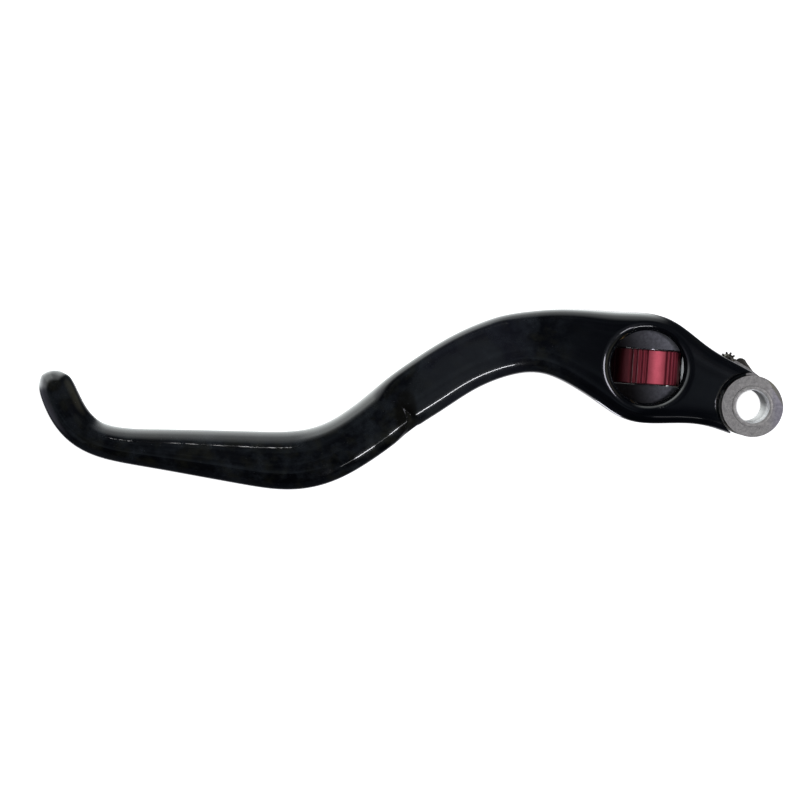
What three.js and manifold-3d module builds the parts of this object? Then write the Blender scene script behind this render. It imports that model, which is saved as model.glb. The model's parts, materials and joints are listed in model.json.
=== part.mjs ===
// Motorcycle clutch lever with a thumb-wheel reach adjuster. Millimetres, +Z up.
// +Z is along the pivot axis, the blade runs towards -X, and the handlebar is on the -Y side, so
// squeezing the lever is a positive turn about +Z. Dimensions are from the centre of the pivot
// bore; FRAME_SHIFT then puts the middle of the whole lever's box at the origin.
import * as THREE from 'three';
import { mergeVertices } from 'three/addons/utils/BufferGeometryUtils.js';
import Module from 'manifold-3d';

const wasm = await Module();
wasm.setup();
const { degToRad } = THREE.MathUtils;

// ---------------------------------------------------------------- driving dimensions (mm, degrees)
const FRAME_SHIFT = [84.87, -1.63, 0];
const SEG = 48;                 // facets round most turned shapes
const PIN_SEG = 32;             // facets round small pins, screws and their holes

const RUNNING_GAP = 0.06;       // radial, around the pivot sleeve
const FIT_GAP = 0.05;           // between neighbouring small parts
const STUD_GAP = 0.08;          // radial, around the stud
const SWING_GAP = 0.3;          // between the blade and the carrier it swings around
const REACH = 2.16;             // blade swing either way as the wheel turns two clicks

const SLEEVE_BORE_R = 4.0;      // 8 mm perch bolt
const SLEEVE_R = 5.0;           // 8 x 10 bush
const SLEEVE_HALF = 7.3;
const SLEEVE_CHAMFER = 0.35;
const BUSH_R = 6.0;
const THRUST_WASHER_R = 7.15;

const TONGUE_HALF = 2.2;        // blade eye between the carrier's ears
const TONGUE_R = 7.3;
const BLADE_CUT_R = 8.27;       // concave end of the blade around the ears
const BLADE_LIP_R = 9.35;

const EAR_R = 7.6;
const EAR_TOP = 7.15;
const EAR_LOW = -5.9;           // underside of the lower ear, the cam plate fills the rest
const EAR_GAP = 2.5;            // half the space between the ears
const CHEEK_IN = 4.9;           // inner faces of the blade's two cheeks
const CARRIER_HALF = 4.6;
const BLOCK_R = 11.2;           // carrier block around the wheel
const BLOCK_HALF_Y = 9.6;
const SLOT_HALF_X = 9.3;        // wheel slot in the block
const SLOT_HALF_Y = 4.55;

const WHEEL_C = [-25.9, 9.75];  // wheel centre
const WHEEL_TILT = 4;           // wheel axis leans from +Y towards +X
const WHEEL_R = 8.75;
const WHEEL_HALF = 4.28;
const WHEEL_CHAMFER = 0.45;
const WHEEL_STEPS = 6;
const WINDOW_R = 8.93;          // wheel window through the blade
const WINDOW_RIM_R = 11.35;

// Stud, pad, detent and return spring are placed in the wheel's frame, with Y along its axis.
const STUD_R = 2.5;
const STUD_TIP = 11.05;
const STUD_TAIL = -8.3;
const KEY_R = 0.75;             // key pin beside the stud
const KEY_PLACE = { x: 2.85, y: 7.2 };
const PAD_R = 3.0;
const PAD_FACE = 11.1;
const DETENT_X = 6.0;
const BALL_R = 1.25;
const DIMPLE_DEPTH = 0.5;
const SPRING_X = -6.0;
const SEAT_R = 1.9;

const BARREL_C = [-15.95, 0.4]; // 16 mm from the pivot
const BARREL_R = 3.0;
const ROD_HOLE_R = 2.0;

const CAM_Z = [-7.15, -5.95];
const NOSE_C = [-1.08, 10.29];
const SCREW_C = [-4.88, 11.35]; // cam plate screw
const SCREW_SHANK_R = 0.8;
const SCREW_ROOM_R = 2.5;       // room in the blade around the screw

// Blade sections, tip to pivot: upper edge x, y, lower edge x, y, half thickness,
// superellipse exponent (2 is an ellipse, higher is squarer).
const SECTIONS = [
  [-173.70, 9.02, -176.50, 8.07, 2.2, 2.0],
  [-172.65, 8.90, -176.98, 7.47, 3.0, 2.0],
  [-171.45, 8.47, -177.38, 5.97, 3.9, 2.05],
  [-170.05, 7.55, -177.38, 4.15, 4.55, 2.1],
  [-169.03, 6.27, -177.10, 2.57, 4.85, 2.1],
  [-168.29, 4.90, -176.68, 1.09, 5.0, 2.15],
  [-167.23, 2.33, -175.37, -2.02, 5.1, 2.2],
  [-166.10, 0.04, -173.59, -5.14, 5.2, 2.2],
  [-164.79, -1.86, -171.14, -8.06, 5.25, 2.2],
  [-163.17, -3.38, -168.06, -10.48, 5.3, 2.2],
  [-161.16, -4.50, -164.60, -12.23, 5.35, 2.2],
  [-158.76, -5.25, -161.03, -13.39, 5.4, 2.2],
  [-156.04, -5.67, -157.54, -14.16, 5.45, 2.2],
  [-149.96, -5.91, -150.91, -15.33, 5.5, 2.2],
  [-143.51, -6.01, -144.54, -16.43, 5.6, 2.25],
  [-137.02, -6.16, -138.19, -17.60, 5.7, 2.25],
  [-130.54, -6.32, -131.83, -18.75, 5.8, 2.25],
  [-124.13, -6.50, -125.45, -19.90, 5.9, 2.3],
  [-118.15, -6.64, -118.67, -20.92, 6.0, 2.3],
  [-115.47, -6.60, -114.97, -21.12, 6.05, 2.3],
  [-111.81, -6.25, -109.10, -20.57, 6.1, 2.3],
  [-108.39, -5.38, -103.33, -18.84, 6.2, 2.3],
  [-104.96, -3.81, -98.15, -16.23, 6.3, 2.35],
  [-101.43, -1.57, -93.57, -13.31, 6.4, 2.4],
  [-97.83, 1.02, -89.35, -10.31, 6.5, 2.4],
  [-94.17, 3.76, -85.40, -7.16, 6.6, 2.45],
  [-90.25, 6.82, -81.65, -4.37, 6.7, 2.5],
  [-85.96, 9.95, -77.93, -2.09, 6.8, 2.55],
  [-81.93, 12.72, -73.90, 0.59, 6.9, 2.6],
  [-77.68, 15.44, -69.99, 3.17, 7.0, 2.65],
  [-72.62, 18.25, -66.63, 5.01, 7.1, 2.7],
  [-67.53, 20.52, -62.90, 6.57, 7.2, 2.8],
  [-62.46, 22.21, -58.89, 7.82, 7.35, 2.9],
  [-57.01, 23.49, -55.15, 8.41, 7.5, 3.0],
  [-51.31, 24.23, -51.72, 8.21, 7.7, 3.2],
  [-45.60, 24.36, -48.40, 7.13, 7.9, 3.5],
  [-40.17, 24.05, -44.93, 5.36, 8.05, 3.9],
  [-35.04, 23.64, -41.19, 3.10, 8.2, 4.3],
  [-29.91, 23.42, -37.35, 0.53, 8.3, 4.6],
  [-24.91, 23.19, -33.39, -2.38, 8.3, 4.8],
  [-21.85, 22.57, -30.42, -3.77, 8.3, 5.0],
  [-18.95, 21.30, -27.26, -4.34, 8.3, 5.0],
  [-16.21, 19.39, -24.02, -4.42, 8.3, 5.0],
  [-13.60, 17.21, -20.72, -4.31, 8.25, 5.0],
  [-11.02, 15.07, -17.42, -4.24, 8.2, 5.0],
  [-8.90, 13.55, -14.90, -4.28, 8.15, 5.0],
  [-6.30, 12.12, -12.00, -4.62, 8.1, 5.0],
  [-3.70, 10.77, -9.30, -5.35, 8.05, 5.0],
  [-1.20, 9.50, -7.00, -6.15, 8.0, 5.0],
  [1.20, 8.10, -5.00, -6.95, 8.0, 5.0],
  [3.40, 6.70, -3.00, -7.60, 7.9, 5.0],
];
const SECTION_POINTS = 18;
const TIP_POLE = [-175.15, 8.80];
const END_POLE = [0.5, -0.5];

const MATERIALS = {
  sleeve: { color: 0x74747c, roughness: 0.35, metalness: 0.9 },
  bush: { color: 0xa9825a, roughness: 0.4, metalness: 0.9 },
  thrustWasher: { color: 0x2b2b2b, roughness: 0.6, metalness: 0 },
  carrier: { color: 0x5d5a5e, roughness: 0.5, metalness: 0.6 },
  blade: { color: 0x050507, roughness: 0.12, metalness: 0 },
  wheel: { color: 0xa02038, roughness: 0.35, metalness: 0.7 },
  wheelWasher: { color: 0x9a9a9a, roughness: 0.3, metalness: 1 },
  stud: { color: 0x8e8e92, roughness: 0.3, metalness: 1 },
  keyPin: { color: 0x777777, roughness: 0.3, metalness: 1 },
  pad: { color: 0x909096, roughness: 0.3, metalness: 1 },
  ball: { color: 0xc8c8cc, roughness: 0.15, metalness: 1 },
  spring: { color: 0xb0b0b4, roughness: 0.3, metalness: 1 },
  grubScrew: { color: 0x333336, roughness: 0.4, metalness: 1 },
  springSeat: { color: 0x8e8e92, roughness: 0.35, metalness: 1 },
  barrel: { color: 0xb58a4c, roughness: 0.35, metalness: 0.9 },
  camPlate: { color: 0x4c4a46, roughness: 0.45, metalness: 0.8 },
  lockWasher: { color: 0x3c3c3c, roughness: 0.4, metalness: 0.9 },
  screw: { color: 0x2e2e30, roughness: 0.4, metalness: 0.9 },
};

// ---------------------------------------------------------------- frames
const at = (x, y, z = 0) => new THREE.Matrix4().makeTranslation(x, y, z);
const turn = (degrees) => new THREE.Matrix4().makeRotationZ(degToRad(degrees));
const pivotFrame = new THREE.Matrix4();
const wheelFrame = at(...WHEEL_C).multiply(turn(-WHEEL_TILT));
const screwFrame = at(...SCREW_C);
const barrelFrame = at(...BARREL_C);
const inFrame = (frame, matrix) => frame.clone().multiply(matrix);
const inWheel = (matrix) => inFrame(wheelFrame, matrix);
// lays a prism's Z along -Y
const zToMinusY = new THREE.Matrix4().makeRotationX(Math.PI / 2);

// ---------------------------------------------------------------- solids
function solid(geometry, matrix = pivotFrame) {
  for (const name of Object.keys(geometry.attributes)) {
    if (name !== 'position') geometry.deleteAttribute(name);
  }
  const merged = mergeVertices(geometry, 1e-4).applyMatrix4(matrix);
  const index = merged.index.array;
  const triangles = [];
  for (let i = 0; i < index.length; i += 3) {
    const [a, b, c] = index.slice(i, i + 3);
    if (a !== b && b !== c && a !== c) triangles.push(a, b, c);
  }
  const mesh = new wasm.Mesh({
    numProp: 3,
    vertProperties: new Float32Array(merged.attributes.position.array),
    triVerts: new Uint32Array(triangles),
  });
  mesh.merge();
  return new wasm.Manifold(mesh);
}

function toGeometry(shape) {
  const mesh = shape.getMesh();
  const geometry = new THREE.BufferGeometry();
  geometry.setAttribute('position', new THREE.BufferAttribute(mesh.vertProperties, 3));
  geometry.setIndex(Array.from(mesh.triVerts));
  geometry.computeVertexNormals();
  return geometry;
}

const toVectors = (points) => points.map(([x, y]) => new THREE.Vector2(x, y));
const toShape = (points) => new THREE.Shape(toVectors(points));

// cylinder along Z
function cylZ(radius, z0, z1, { x = 0, y = 0, segments = SEG, frame = pivotFrame } = {}) {
  const geometry = new THREE.CylinderGeometry(radius, radius, z1 - z0, segments);
  geometry.rotateX(Math.PI / 2);
  return solid(geometry, inFrame(frame, at(x, y, (z0 + z1) / 2)));
}

// cylinder along Y, by default the wheel's axis
function cylY(radius, y0, y1, { x = 0, segments = SEG, frame = wheelFrame } = {}) {
  const geometry = new THREE.CylinderGeometry(radius, radius, y1 - y0, segments);
  return solid(geometry, inFrame(frame, at(x, (y0 + y1) / 2)));
}

function box([x0, x1], [y0, y1], [z0, z1], frame = pivotFrame) {
  const centre = at((x0 + x1) / 2, (y0 + y1) / 2, (z0 + z1) / 2);
  return solid(new THREE.BoxGeometry(x1 - x0, y1 - y0, z1 - z0), inFrame(frame, centre));
}

function sphere(radius, around, down, matrix) {
  return solid(new THREE.SphereGeometry(radius, around, down), matrix);
}

function prism(points, z0, z1, frame = pivotFrame) {
  const options = { depth: z1 - z0, bevelEnabled: false };
  return solid(new THREE.ExtrudeGeometry(toShape(points), options), inFrame(frame, at(0, 0, z0)));
}

// profile of radius, height pairs turned about Z
function turnedZ(profile, segments = SEG, frame = pivotFrame) {
  const geometry = new THREE.LatheGeometry(toVectors(profile), segments);
  return solid(geometry.rotateX(Math.PI / 2), frame);
}

// profile of radius, height pairs turned about the wheel's axis
function turnedY(profile) {
  return solid(new THREE.LatheGeometry(toVectors(profile), SEG), wheelFrame);
}

const ringProfile = (inner, outer, low, high) => [
  [inner, low], [outer, low], [outer, high], [inner, high], [inner, low],
];
const ring = (...sizes) => turnedZ(ringProfile(...sizes));

function arc(radius, start, end, steps, x = 0, y = 0) {
  return Array.from({ length: steps + 1 }, (_, i) => {
    const angle = degToRad(start + ((end - start) * i) / steps);
    return [x + radius * Math.cos(angle), y + radius * Math.sin(angle)];
  });
}
const hexagon = (radius) => arc(radius, 0, 300, 5);

// what a shape sweeps as the blade swings through its reach, and a little beyond
function swept(make) {
  return [-1.06, 0, 1.06].map((k) => make(turn(REACH * k))).reduce((a, b) => a.add(b));
}

// the main body, without the slivers that coincident facets leave
function largest(shape) {
  return shape.decompose().reduce((a, b) => (a.volume() > b.volume() ? a : b));
}

// ---------------------------------------------------------------- shapes shared by blade and carrier
const neckPoints = (gap) => [
  [-24, -0.6 - gap], [-19, -1.6 - gap], [-12, -2.2 - gap], [-6, -3.6 - gap], [0, -5],
  [0, 4], [-6, 3.9 + gap], [-13, 4.6 + gap], [-17, 5.0 + gap], [-24, 5.0 + gap],
];

// lug on the lower ear that carries the cam plate screw
const lugPoints = (gap) => [
  [-6.9 - gap, 11.9], [-5.6, 12.6 + gap], [-3.2, 11.5 + gap], [2.35, 8.98 + gap],
  [6.5 + gap, 4.0], [0, 0], [-7.3 - gap, 2.5],
];

function carrierBlock(gap, half, swing = pivotFrame) {
  const frame = inFrame(swing, wheelFrame);
  const halfY = BLOCK_HALF_Y + gap;
  return cylZ(BLOCK_R + gap, -half, half, { frame })
    .intersect(box([-20, 20], [-halfY, halfY], [-half - 1, half + 1], frame));
}

// cylinder on the cam plate screw's axis
function screwCyl(radius, z0, z1, swing = pivotFrame) {
  return cylZ(radius, z0, z1, { segments: PIN_SEG, frame: inFrame(swing, screwFrame) });
}

// ---------------------------------------------------------------- blade
// loft of superellipse sections, closed by a fan to a pole at each end
function bladeLoft() {
  const positions = [];
  const index = [];
  const flatten = (value, exponent) => Math.sign(value) * Math.abs(value) ** (2 / exponent);
  for (const [upperX, upperY, lowerX, lowerY, half, exponent] of SECTIONS) {
    for (let k = 0; k < SECTION_POINTS; k++) {
      const angle = (2 * Math.PI * (k + 0.5)) / SECTION_POINTS;
      const across = flatten(Math.cos(angle), exponent);
      positions.push(
        (upperX + lowerX) / 2 + ((upperX - lowerX) / 2) * across,
        (upperY + lowerY) / 2 + ((upperY - lowerY) / 2) * across,
        half * flatten(Math.sin(angle), exponent),
      );
    }
  }
  const lastRow = (SECTIONS.length - 1) * SECTION_POINTS;
  for (let row = 0; row < lastRow; row += SECTION_POINTS) {
    for (let k = 0; k < SECTION_POINTS; k++) {
      const here = row + k;
      const next = row + ((k + 1) % SECTION_POINTS);
      index.push(here, next, here + SECTION_POINTS);
      index.push(next, next + SECTION_POINTS, here + SECTION_POINTS);
    }
  }
  const tip = positions.length / 3;
  const end = tip + 1;
  positions.push(...TIP_POLE, 0, ...END_POLE, 0);
  for (let k = 0; k < SECTION_POINTS; k++) {
    const next = (k + 1) % SECTION_POINTS;
    index.push(tip, next, k);
    index.push(end, lastRow + k, lastRow + next);
  }
  const geometry = new THREE.BufferGeometry();
  geometry.setAttribute('position', new THREE.Float32BufferAttribute(positions, 3));
  geometry.setIndex(index);
  return solid(geometry);
}

// room for the carrier's ears
function earCut() {
  return turnedZ([
    [0, -12], [BLADE_LIP_R + 2.5, -12], [BLADE_LIP_R, -8.3], [8.6, -7.6],
    [BLADE_CUT_R, -6.4], [BLADE_CUT_R, 6.4],
    [8.6, 7.3], [BLADE_LIP_R, 7.9], [BLADE_LIP_R + 2.5, 12], [0, 12],
  ], 60);
}

// round window for the wheel, flared at both broad faces
function windowCut() {
  return turnedZ([
    [0, -10], [13.6, -10], [WINDOW_RIM_R, -8.35], [10.3, -7.8], [9.5, -6.9], [9.05, -5.9],
    [WINDOW_R, -CHEEK_IN], [WINDOW_R, CHEEK_IN],
    [9.05, 5.9], [9.5, 6.9], [10.3, 7.8], [WINDOW_RIM_R, 8.35], [13.6, 10], [0, 10],
  ], SEG, at(...WHEEL_C));
}

// breakaway neck: shallow round groove over a broad face
function notch(z) {
  return cylY(4.0, -13, 13, { segments: 40, frame: at(-86.0, 0.9, z).multiply(turn(23)) });
}

function leverBlade() {
  const body = bladeLoft();
  const blockRoom = swept((swing) => carrierBlock(SWING_GAP, CHEEK_IN, swing));
  const neckRoom = swept((swing) => prism(neckPoints(SWING_GAP), -CHEEK_IN, CHEEK_IN, swing));
  const barrelRoom = swept((swing) => cylZ(
    BARREL_R + SWING_GAP, -CHEEK_IN, CHEEK_IN, { frame: inFrame(swing, barrelFrame) }));
  // room for the lower ear's lug, its screw and the cam plate
  const lugRoom = swept((swing) => prism(lugPoints(0.7), -12, -TONGUE_HALF, swing)
    .add(screwCyl(SCREW_ROOM_R, -12, 1.0, swing)));
  const rodDoor = box([-20.2, -11.9], [-12, -0.5], [-3.2, 3.2]);
  const padPocket = cylY(PAD_R + 0.1, 9.5, 12.45);
  const seatPocket = cylY(SEAT_R + 0.1, -11.75, -9.5, { x: SPRING_X });

  const tongue = body.intersect(box([-14.5, 9], [-9, 20], [-TONGUE_HALF, TONGUE_HALF]))
    .intersect(cylZ(13.2, -3, 3))
    .add(cylZ(TONGUE_R, -TONGUE_HALF, TONGUE_HALF))
    .subtract(box([0, 12], [7.2, 20], [-3, 3]))
    .subtract(neckRoom.subtract(cylZ(TONGUE_R, -20, 20)))
    .subtract(blockRoom)
    .subtract(swept((swing) => screwCyl(SCREW_ROOM_R, -3, 3, swing)));

  const cuts = [
    earCut(), blockRoom, neckRoom, lugRoom, windowCut(), rodDoor, barrelRoom, padPocket,
    seatPocket, notch(10.0), notch(-10.0),
  ];
  return largest(cuts.reduce((blade, cut) => blade.subtract(cut), body)
    .add(tongue)
    .subtract(cylZ(BUSH_R + 0.03, -3, 3)));
}

// ---------------------------------------------------------------- pivot stack
function pivotSleeve() {
  const chamferR = SLEEVE_BORE_R + SLEEVE_CHAMFER;
  const chamferZ = SLEEVE_HALF - SLEEVE_CHAMFER;
  return turnedZ([
    [SLEEVE_BORE_R, -chamferZ], [chamferR, -SLEEVE_HALF], [SLEEVE_R, -SLEEVE_HALF],
    [SLEEVE_R, SLEEVE_HALF], [chamferR, SLEEVE_HALF], [SLEEVE_BORE_R, chamferZ],
    [SLEEVE_BORE_R, -chamferZ],
  ]);
}

const eyeBush = () => ring(SLEEVE_R + RUNNING_GAP, BUSH_R, -TONGUE_HALF, TONGUE_HALF);

function thrustWasher(z0) {
  const thickness = EAR_GAP - TONGUE_HALF - 2 * FIT_GAP;
  return ring(SLEEVE_R + 0.1, THRUST_WASHER_R, z0, z0 + thickness);
}

// ---------------------------------------------------------------- carrier (knuckle)
function adjusterCarrier() {
  const tongueRoom = cylZ(TONGUE_R + 0.35, -EAR_GAP, EAR_GAP)
    .add(box([-13.9, 9], [4.9, 20], [-EAR_GAP, EAR_GAP]).subtract(carrierBlock(0, 3)));
  const slot = box(
    [-SLOT_HALF_X, SLOT_HALF_X], [-SLOT_HALF_Y, SLOT_HALF_Y], [-6, 6], wheelFrame);
  const keyHole = cylZ(
    KEY_R + FIT_GAP, -9.6, 3.2, { ...KEY_PLACE, segments: PIN_SEG, frame: wheelFrame });
  const solidCarrier = carrierBlock(0, CARRIER_HALF)
    .add(prism(neckPoints(0), -CARRIER_HALF, CARRIER_HALF))
    .add(cylZ(EAR_R, -CARRIER_HALF, EAR_TOP))
    .add(cylZ(EAR_R, EAR_LOW, 0))
    .add(prism(lugPoints(0), EAR_LOW, -EAR_GAP).intersect(cylZ(12.9, -8, 0)))
    .add(screwCyl(1.55, EAR_LOW, -EAR_GAP));
  const cuts = [
    tongueRoom,
    cylZ(SLEEVE_R + RUNNING_GAP, -10, 10),
    slot,
    cylY(STUD_R + STUD_GAP, -12, 12),
    keyHole,
    cylY(BALL_R + FIT_GAP, -12, -4, { x: DETENT_X }),
    cylY(SEAT_R, -12, -5.6, { x: SPRING_X }),
    cylZ(BARREL_R + FIT_GAP, -6, 6, { frame: barrelFrame }),
    screwCyl(SCREW_SHANK_R + 0.06, -8, 0),
  ];
  return largest(cuts.reduce((carrier, cut) => carrier.subtract(cut), solidCarrier));
}

// ---------------------------------------------------------------- adjuster wheel and stud
// rim outline: six smooth lands with four notches between each pair
function wheelPoints() {
  const firstLand = 15.5;
  const landHalf = 13;
  const notchPitch = 8.5;
  const points = [];
  const put = (degrees, radius) => {
    const angle = degToRad(degrees);
    points.push([radius * Math.sin(angle), radius * Math.cos(angle)]);
  };
  for (let k = 0; k < WHEEL_STEPS; k++) {
    const land = firstLand + (360 / WHEEL_STEPS) * k;
    for (const offset of [-landHalf, -4.5, 4.5, landHalf]) put(land + offset, WHEEL_R);
    for (let j = 0; j < 4; j++) {
      const start = land + landHalf + notchPitch * j;
      put(start + 2.5, WHEEL_R - 0.62);
      if (j < 3) put(start + 6.2, WHEEL_R - 0.12);
    }
  }
  return points;
}

function adjusterWheel() {
  const faceR = WHEEL_R - WHEEL_CHAMFER;
  const rimR = WHEEL_R + 0.02;
  const rimY = WHEEL_HALF - WHEEL_CHAMFER;
  const envelope = turnedY([
    [0, -WHEEL_HALF], [faceR, -WHEEL_HALF], [rimR, -rimY],
    [rimR, rimY], [faceR, WHEEL_HALF], [0, WHEEL_HALF],
  ]);
  let wheel = prism(wheelPoints(), -6, 6, inWheel(zToMinusY))
    .intersect(envelope)
    .subtract(cylY(STUD_R + STUD_GAP, -6, 6));
  // ball dimples in the -Y face
  const dimpleY = -WHEEL_HALF - BALL_R + DIMPLE_DEPTH;
  for (let k = 0; k < WHEEL_STEPS; k++) {
    const angle = degToRad(90 + (360 / WHEEL_STEPS) * k);
    const place = at(DETENT_X * Math.sin(angle), dimpleY, DETENT_X * Math.cos(angle));
    wheel = wheel.subtract(sphere(BALL_R, 12, 8, inWheel(place)));
  }
  return wheel;
}

function wheelWasher() {
  const low = WHEEL_HALF + 0.055;
  return turnedY(ringProfile(STUD_R + 0.25, 5.2, low, low + 0.16));
}

function adjusterStud() {
  const tipR = 1.9;
  const keyFlat = box([1.95, 4], [5.2, 9.9], [-4, 4], wheelFrame);
  return turnedY([
    [0, STUD_TAIL], [STUD_R - 0.4, STUD_TAIL], [STUD_R, STUD_TAIL + 0.4],
    [STUD_R, STUD_TIP - 1.6], [tipR, STUD_TIP - 0.9], [tipR, STUD_TIP - 0.35],
    [1.2, STUD_TIP - 0.08], [0, STUD_TIP],
  ]).subtract(keyFlat);
}

function keyPin() {
  return cylZ(KEY_R, -4.5, 2.9, { ...KEY_PLACE, segments: PIN_SEG, frame: wheelFrame });
}

const contactPad = () => cylY(PAD_R, PAD_FACE, 12.4);

// ---------------------------------------------------------------- click detent and return spring
function detentBall() {
  return sphere(BALL_R, 16, 10, inWheel(at(DETENT_X, -WHEEL_HALF - FIT_GAP - BALL_R)));
}

// round coil of hexagonal wire; wire is the wire's radius, y0 and y1 its outer ends
function coil({ radius, wire, turns, y0, y1, x }) {
  const steps = turns * 12;
  const points = [];
  for (let i = 0; i <= steps; i++) {
    const along = i / steps;
    const angle = 2 * Math.PI * turns * along;
    const y = y0 + wire + (y1 - y0 - 2 * wire) * along;
    points.push(new THREE.Vector3(radius * Math.cos(angle), y, radius * Math.sin(angle)));
  }
  const extrudePath = new THREE.CatmullRomCurve3(points);
  const options = { steps, bevelEnabled: false, extrudePath };
  return solid(new THREE.ExtrudeGeometry(toShape(hexagon(wire)), options), inWheel(at(x, 0)));
}

const detentSpring = () => coil({
  radius: 0.85, wire: 0.14, turns: 3, y0: -7.95, y1: -6.64, x: DETENT_X,
});
const returnSpring = () => coil({
  radius: 1.4, wire: 0.25, turns: 5, y0: -11.2, y1: -5.7, x: SPRING_X,
});

function grubScrew() {
  const socketFrame = inWheel(at(DETENT_X, -8.35).multiply(zToMinusY));
  return cylY(1.25, -9.25, -8.0, { x: DETENT_X, segments: PIN_SEG })
    .subtract(prism(hexagon(0.72), 0, 1.3, socketFrame));
}

const springSeat = () => cylY(SEAT_R, -11.7, -11.3, { x: SPRING_X, segments: PIN_SEG });

// ---------------------------------------------------------------- pushrod barrel
// blind hole from the -Y side with a round bottom
function pushrodBarrel() {
  const hole = cylY(ROD_HOLE_R, -8, 0, { segments: PIN_SEG, frame: barrelFrame })
    .add(sphere(ROD_HOLE_R, 16, 8, barrelFrame));
  return cylZ(BARREL_R, -4.5, 4.5, { frame: barrelFrame }).subtract(hole);
}

// ---------------------------------------------------------------- switch cam plate and its screw
function switchCamPlate() {
  const nose = [[-5.5, 5.2], [0, 0], [2.6, 7.05], ...arc(1.5, 25, 150, 10, ...NOSE_C)];
  const screwArm = [[-3.5, 10.9], [-2.2, 9.5], [0, 0], [-6.9, 3.0], [-6.3, 11.0]];
  return cylZ(EAR_R - 0.1, ...CAM_Z)
    .add(prism(nose, ...CAM_Z))
    .add(prism(screwArm, ...CAM_Z))
    .add(screwCyl(1.5, ...CAM_Z))
    .subtract(cylZ(SLEEVE_R + RUNNING_GAP, -10, 0))
    .subtract(screwCyl(SCREW_SHANK_R + 0.04, -9, 0));
}

function toothLockWasher() {
  const teeth = 11;
  const rootR = 1.55;
  const toothR = 2.1;
  const star = [];
  for (let k = 0; k < teeth; k++) {
    for (const [offset, radius] of [[-10, rootR], [-5, toothR], [5, toothR], [10, rootR]]) {
      const angle = degToRad((360 / teeth) * k + offset);
      star.push([radius * Math.cos(angle), radius * Math.sin(angle)]);
    }
  }
  return prism(star, -EAR_GAP + FIT_GAP, -EAR_GAP + 0.45, screwFrame)
    .subtract(screwCyl(SCREW_SHANK_R + 0.1, -5, 0));
}

function camPlateScrew() {
  const headR = 1.42;
  const headBase = -EAR_GAP + 0.5;
  const headTop = -EAR_GAP + 1.6;
  return turnedZ([
    [0, -7.05], [SCREW_SHANK_R, -7.05], [SCREW_SHANK_R, headBase], [headR, headBase],
    [headR, headTop - 0.25], [1.2, headTop], [0, headTop],
  ], PIN_SEG, screwFrame)
    .subtract(prism(hexagon(0.8), -EAR_GAP + 0.9, 2, screwFrame));
}

// ---------------------------------------------------------------- assembly
const PIECES = [
  ['pivot_sleeve', pivotSleeve(), MATERIALS.sleeve],
  ['blade_eye_bush', eyeBush(), MATERIALS.bush],
  ['thrust_washer_upper', thrustWasher(TONGUE_HALF + FIT_GAP), MATERIALS.thrustWasher],
  ['thrust_washer_lower', thrustWasher(-EAR_GAP + FIT_GAP), MATERIALS.thrustWasher],
  ['adjuster_carrier', adjusterCarrier(), MATERIALS.carrier],
  ['lever_blade', leverBlade(), MATERIALS.blade],
  ['adjuster_wheel', adjusterWheel(), MATERIALS.wheel],
  ['wheel_thrust_washer', wheelWasher(), MATERIALS.wheelWasher],
  ['adjuster_stud', adjusterStud(), MATERIALS.stud],
  ['stud_key_pin', keyPin(), MATERIALS.keyPin],
  ['stud_contact_pad', contactPad(), MATERIALS.pad],
  ['detent_ball', detentBall(), MATERIALS.ball],
  ['detent_spring', detentSpring(), MATERIALS.spring],
  ['detent_grub_screw', grubScrew(), MATERIALS.grubScrew],
  ['return_spring', returnSpring(), MATERIALS.spring],
  ['return_spring_seat', springSeat(), MATERIALS.springSeat],
  ['pushrod_barrel', pushrodBarrel(), MATERIALS.barrel],
  ['switch_cam_plate', switchCamPlate(), MATERIALS.camPlate],
  ['tooth_lock_washer', toothLockWasher(), MATERIALS.lockWasher],
  ['cam_plate_screw', camPlateScrew(), MATERIALS.screw],
];

const lever = new THREE.Group();
lever.name = 'clutch_lever';
lever.position.set(...FRAME_SHIFT);
for (const [name, shape, material] of PIECES) {
  const mesh = new THREE.Mesh(toGeometry(shape), new THREE.MeshStandardMaterial(material));
  mesh.name = name;
  lever.add(mesh);
}

const frame = new THREE.Group();
frame.add(lever);
export default frame;
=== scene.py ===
"""A hand lever: black blade, grey knuckle, red thumb wheel and the small parts between them.

The lever lies flat in XY with its tip towards -X. The pivot bore runs along Z.
Shapes are built in millimetres from the centre of the bore, then moved to the frame in metres.
"""
import bpy
import bmesh
import json
import math
import numpy as np
from mathutils import Matrix, Vector


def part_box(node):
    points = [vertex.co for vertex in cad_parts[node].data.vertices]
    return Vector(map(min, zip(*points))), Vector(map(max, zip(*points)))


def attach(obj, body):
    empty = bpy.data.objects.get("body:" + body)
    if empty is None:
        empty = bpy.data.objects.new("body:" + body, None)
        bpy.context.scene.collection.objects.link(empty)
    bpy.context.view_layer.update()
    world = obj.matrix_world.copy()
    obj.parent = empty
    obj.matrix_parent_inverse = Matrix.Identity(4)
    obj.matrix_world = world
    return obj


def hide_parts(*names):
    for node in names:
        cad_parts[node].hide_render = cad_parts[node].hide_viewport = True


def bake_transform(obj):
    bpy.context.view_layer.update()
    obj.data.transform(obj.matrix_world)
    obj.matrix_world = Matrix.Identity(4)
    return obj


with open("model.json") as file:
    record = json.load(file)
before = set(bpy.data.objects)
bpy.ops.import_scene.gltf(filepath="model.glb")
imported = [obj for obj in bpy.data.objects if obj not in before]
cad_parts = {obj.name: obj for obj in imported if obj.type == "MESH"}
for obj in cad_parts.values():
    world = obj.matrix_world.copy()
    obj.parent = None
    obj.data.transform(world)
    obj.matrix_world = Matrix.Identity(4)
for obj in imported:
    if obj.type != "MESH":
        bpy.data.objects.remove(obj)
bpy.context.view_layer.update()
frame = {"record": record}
BODY_OF = {
    node: body
    for body, nodes in frame["record"]["behaviour"]["bodies"].items()
    for node in nodes
}

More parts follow.
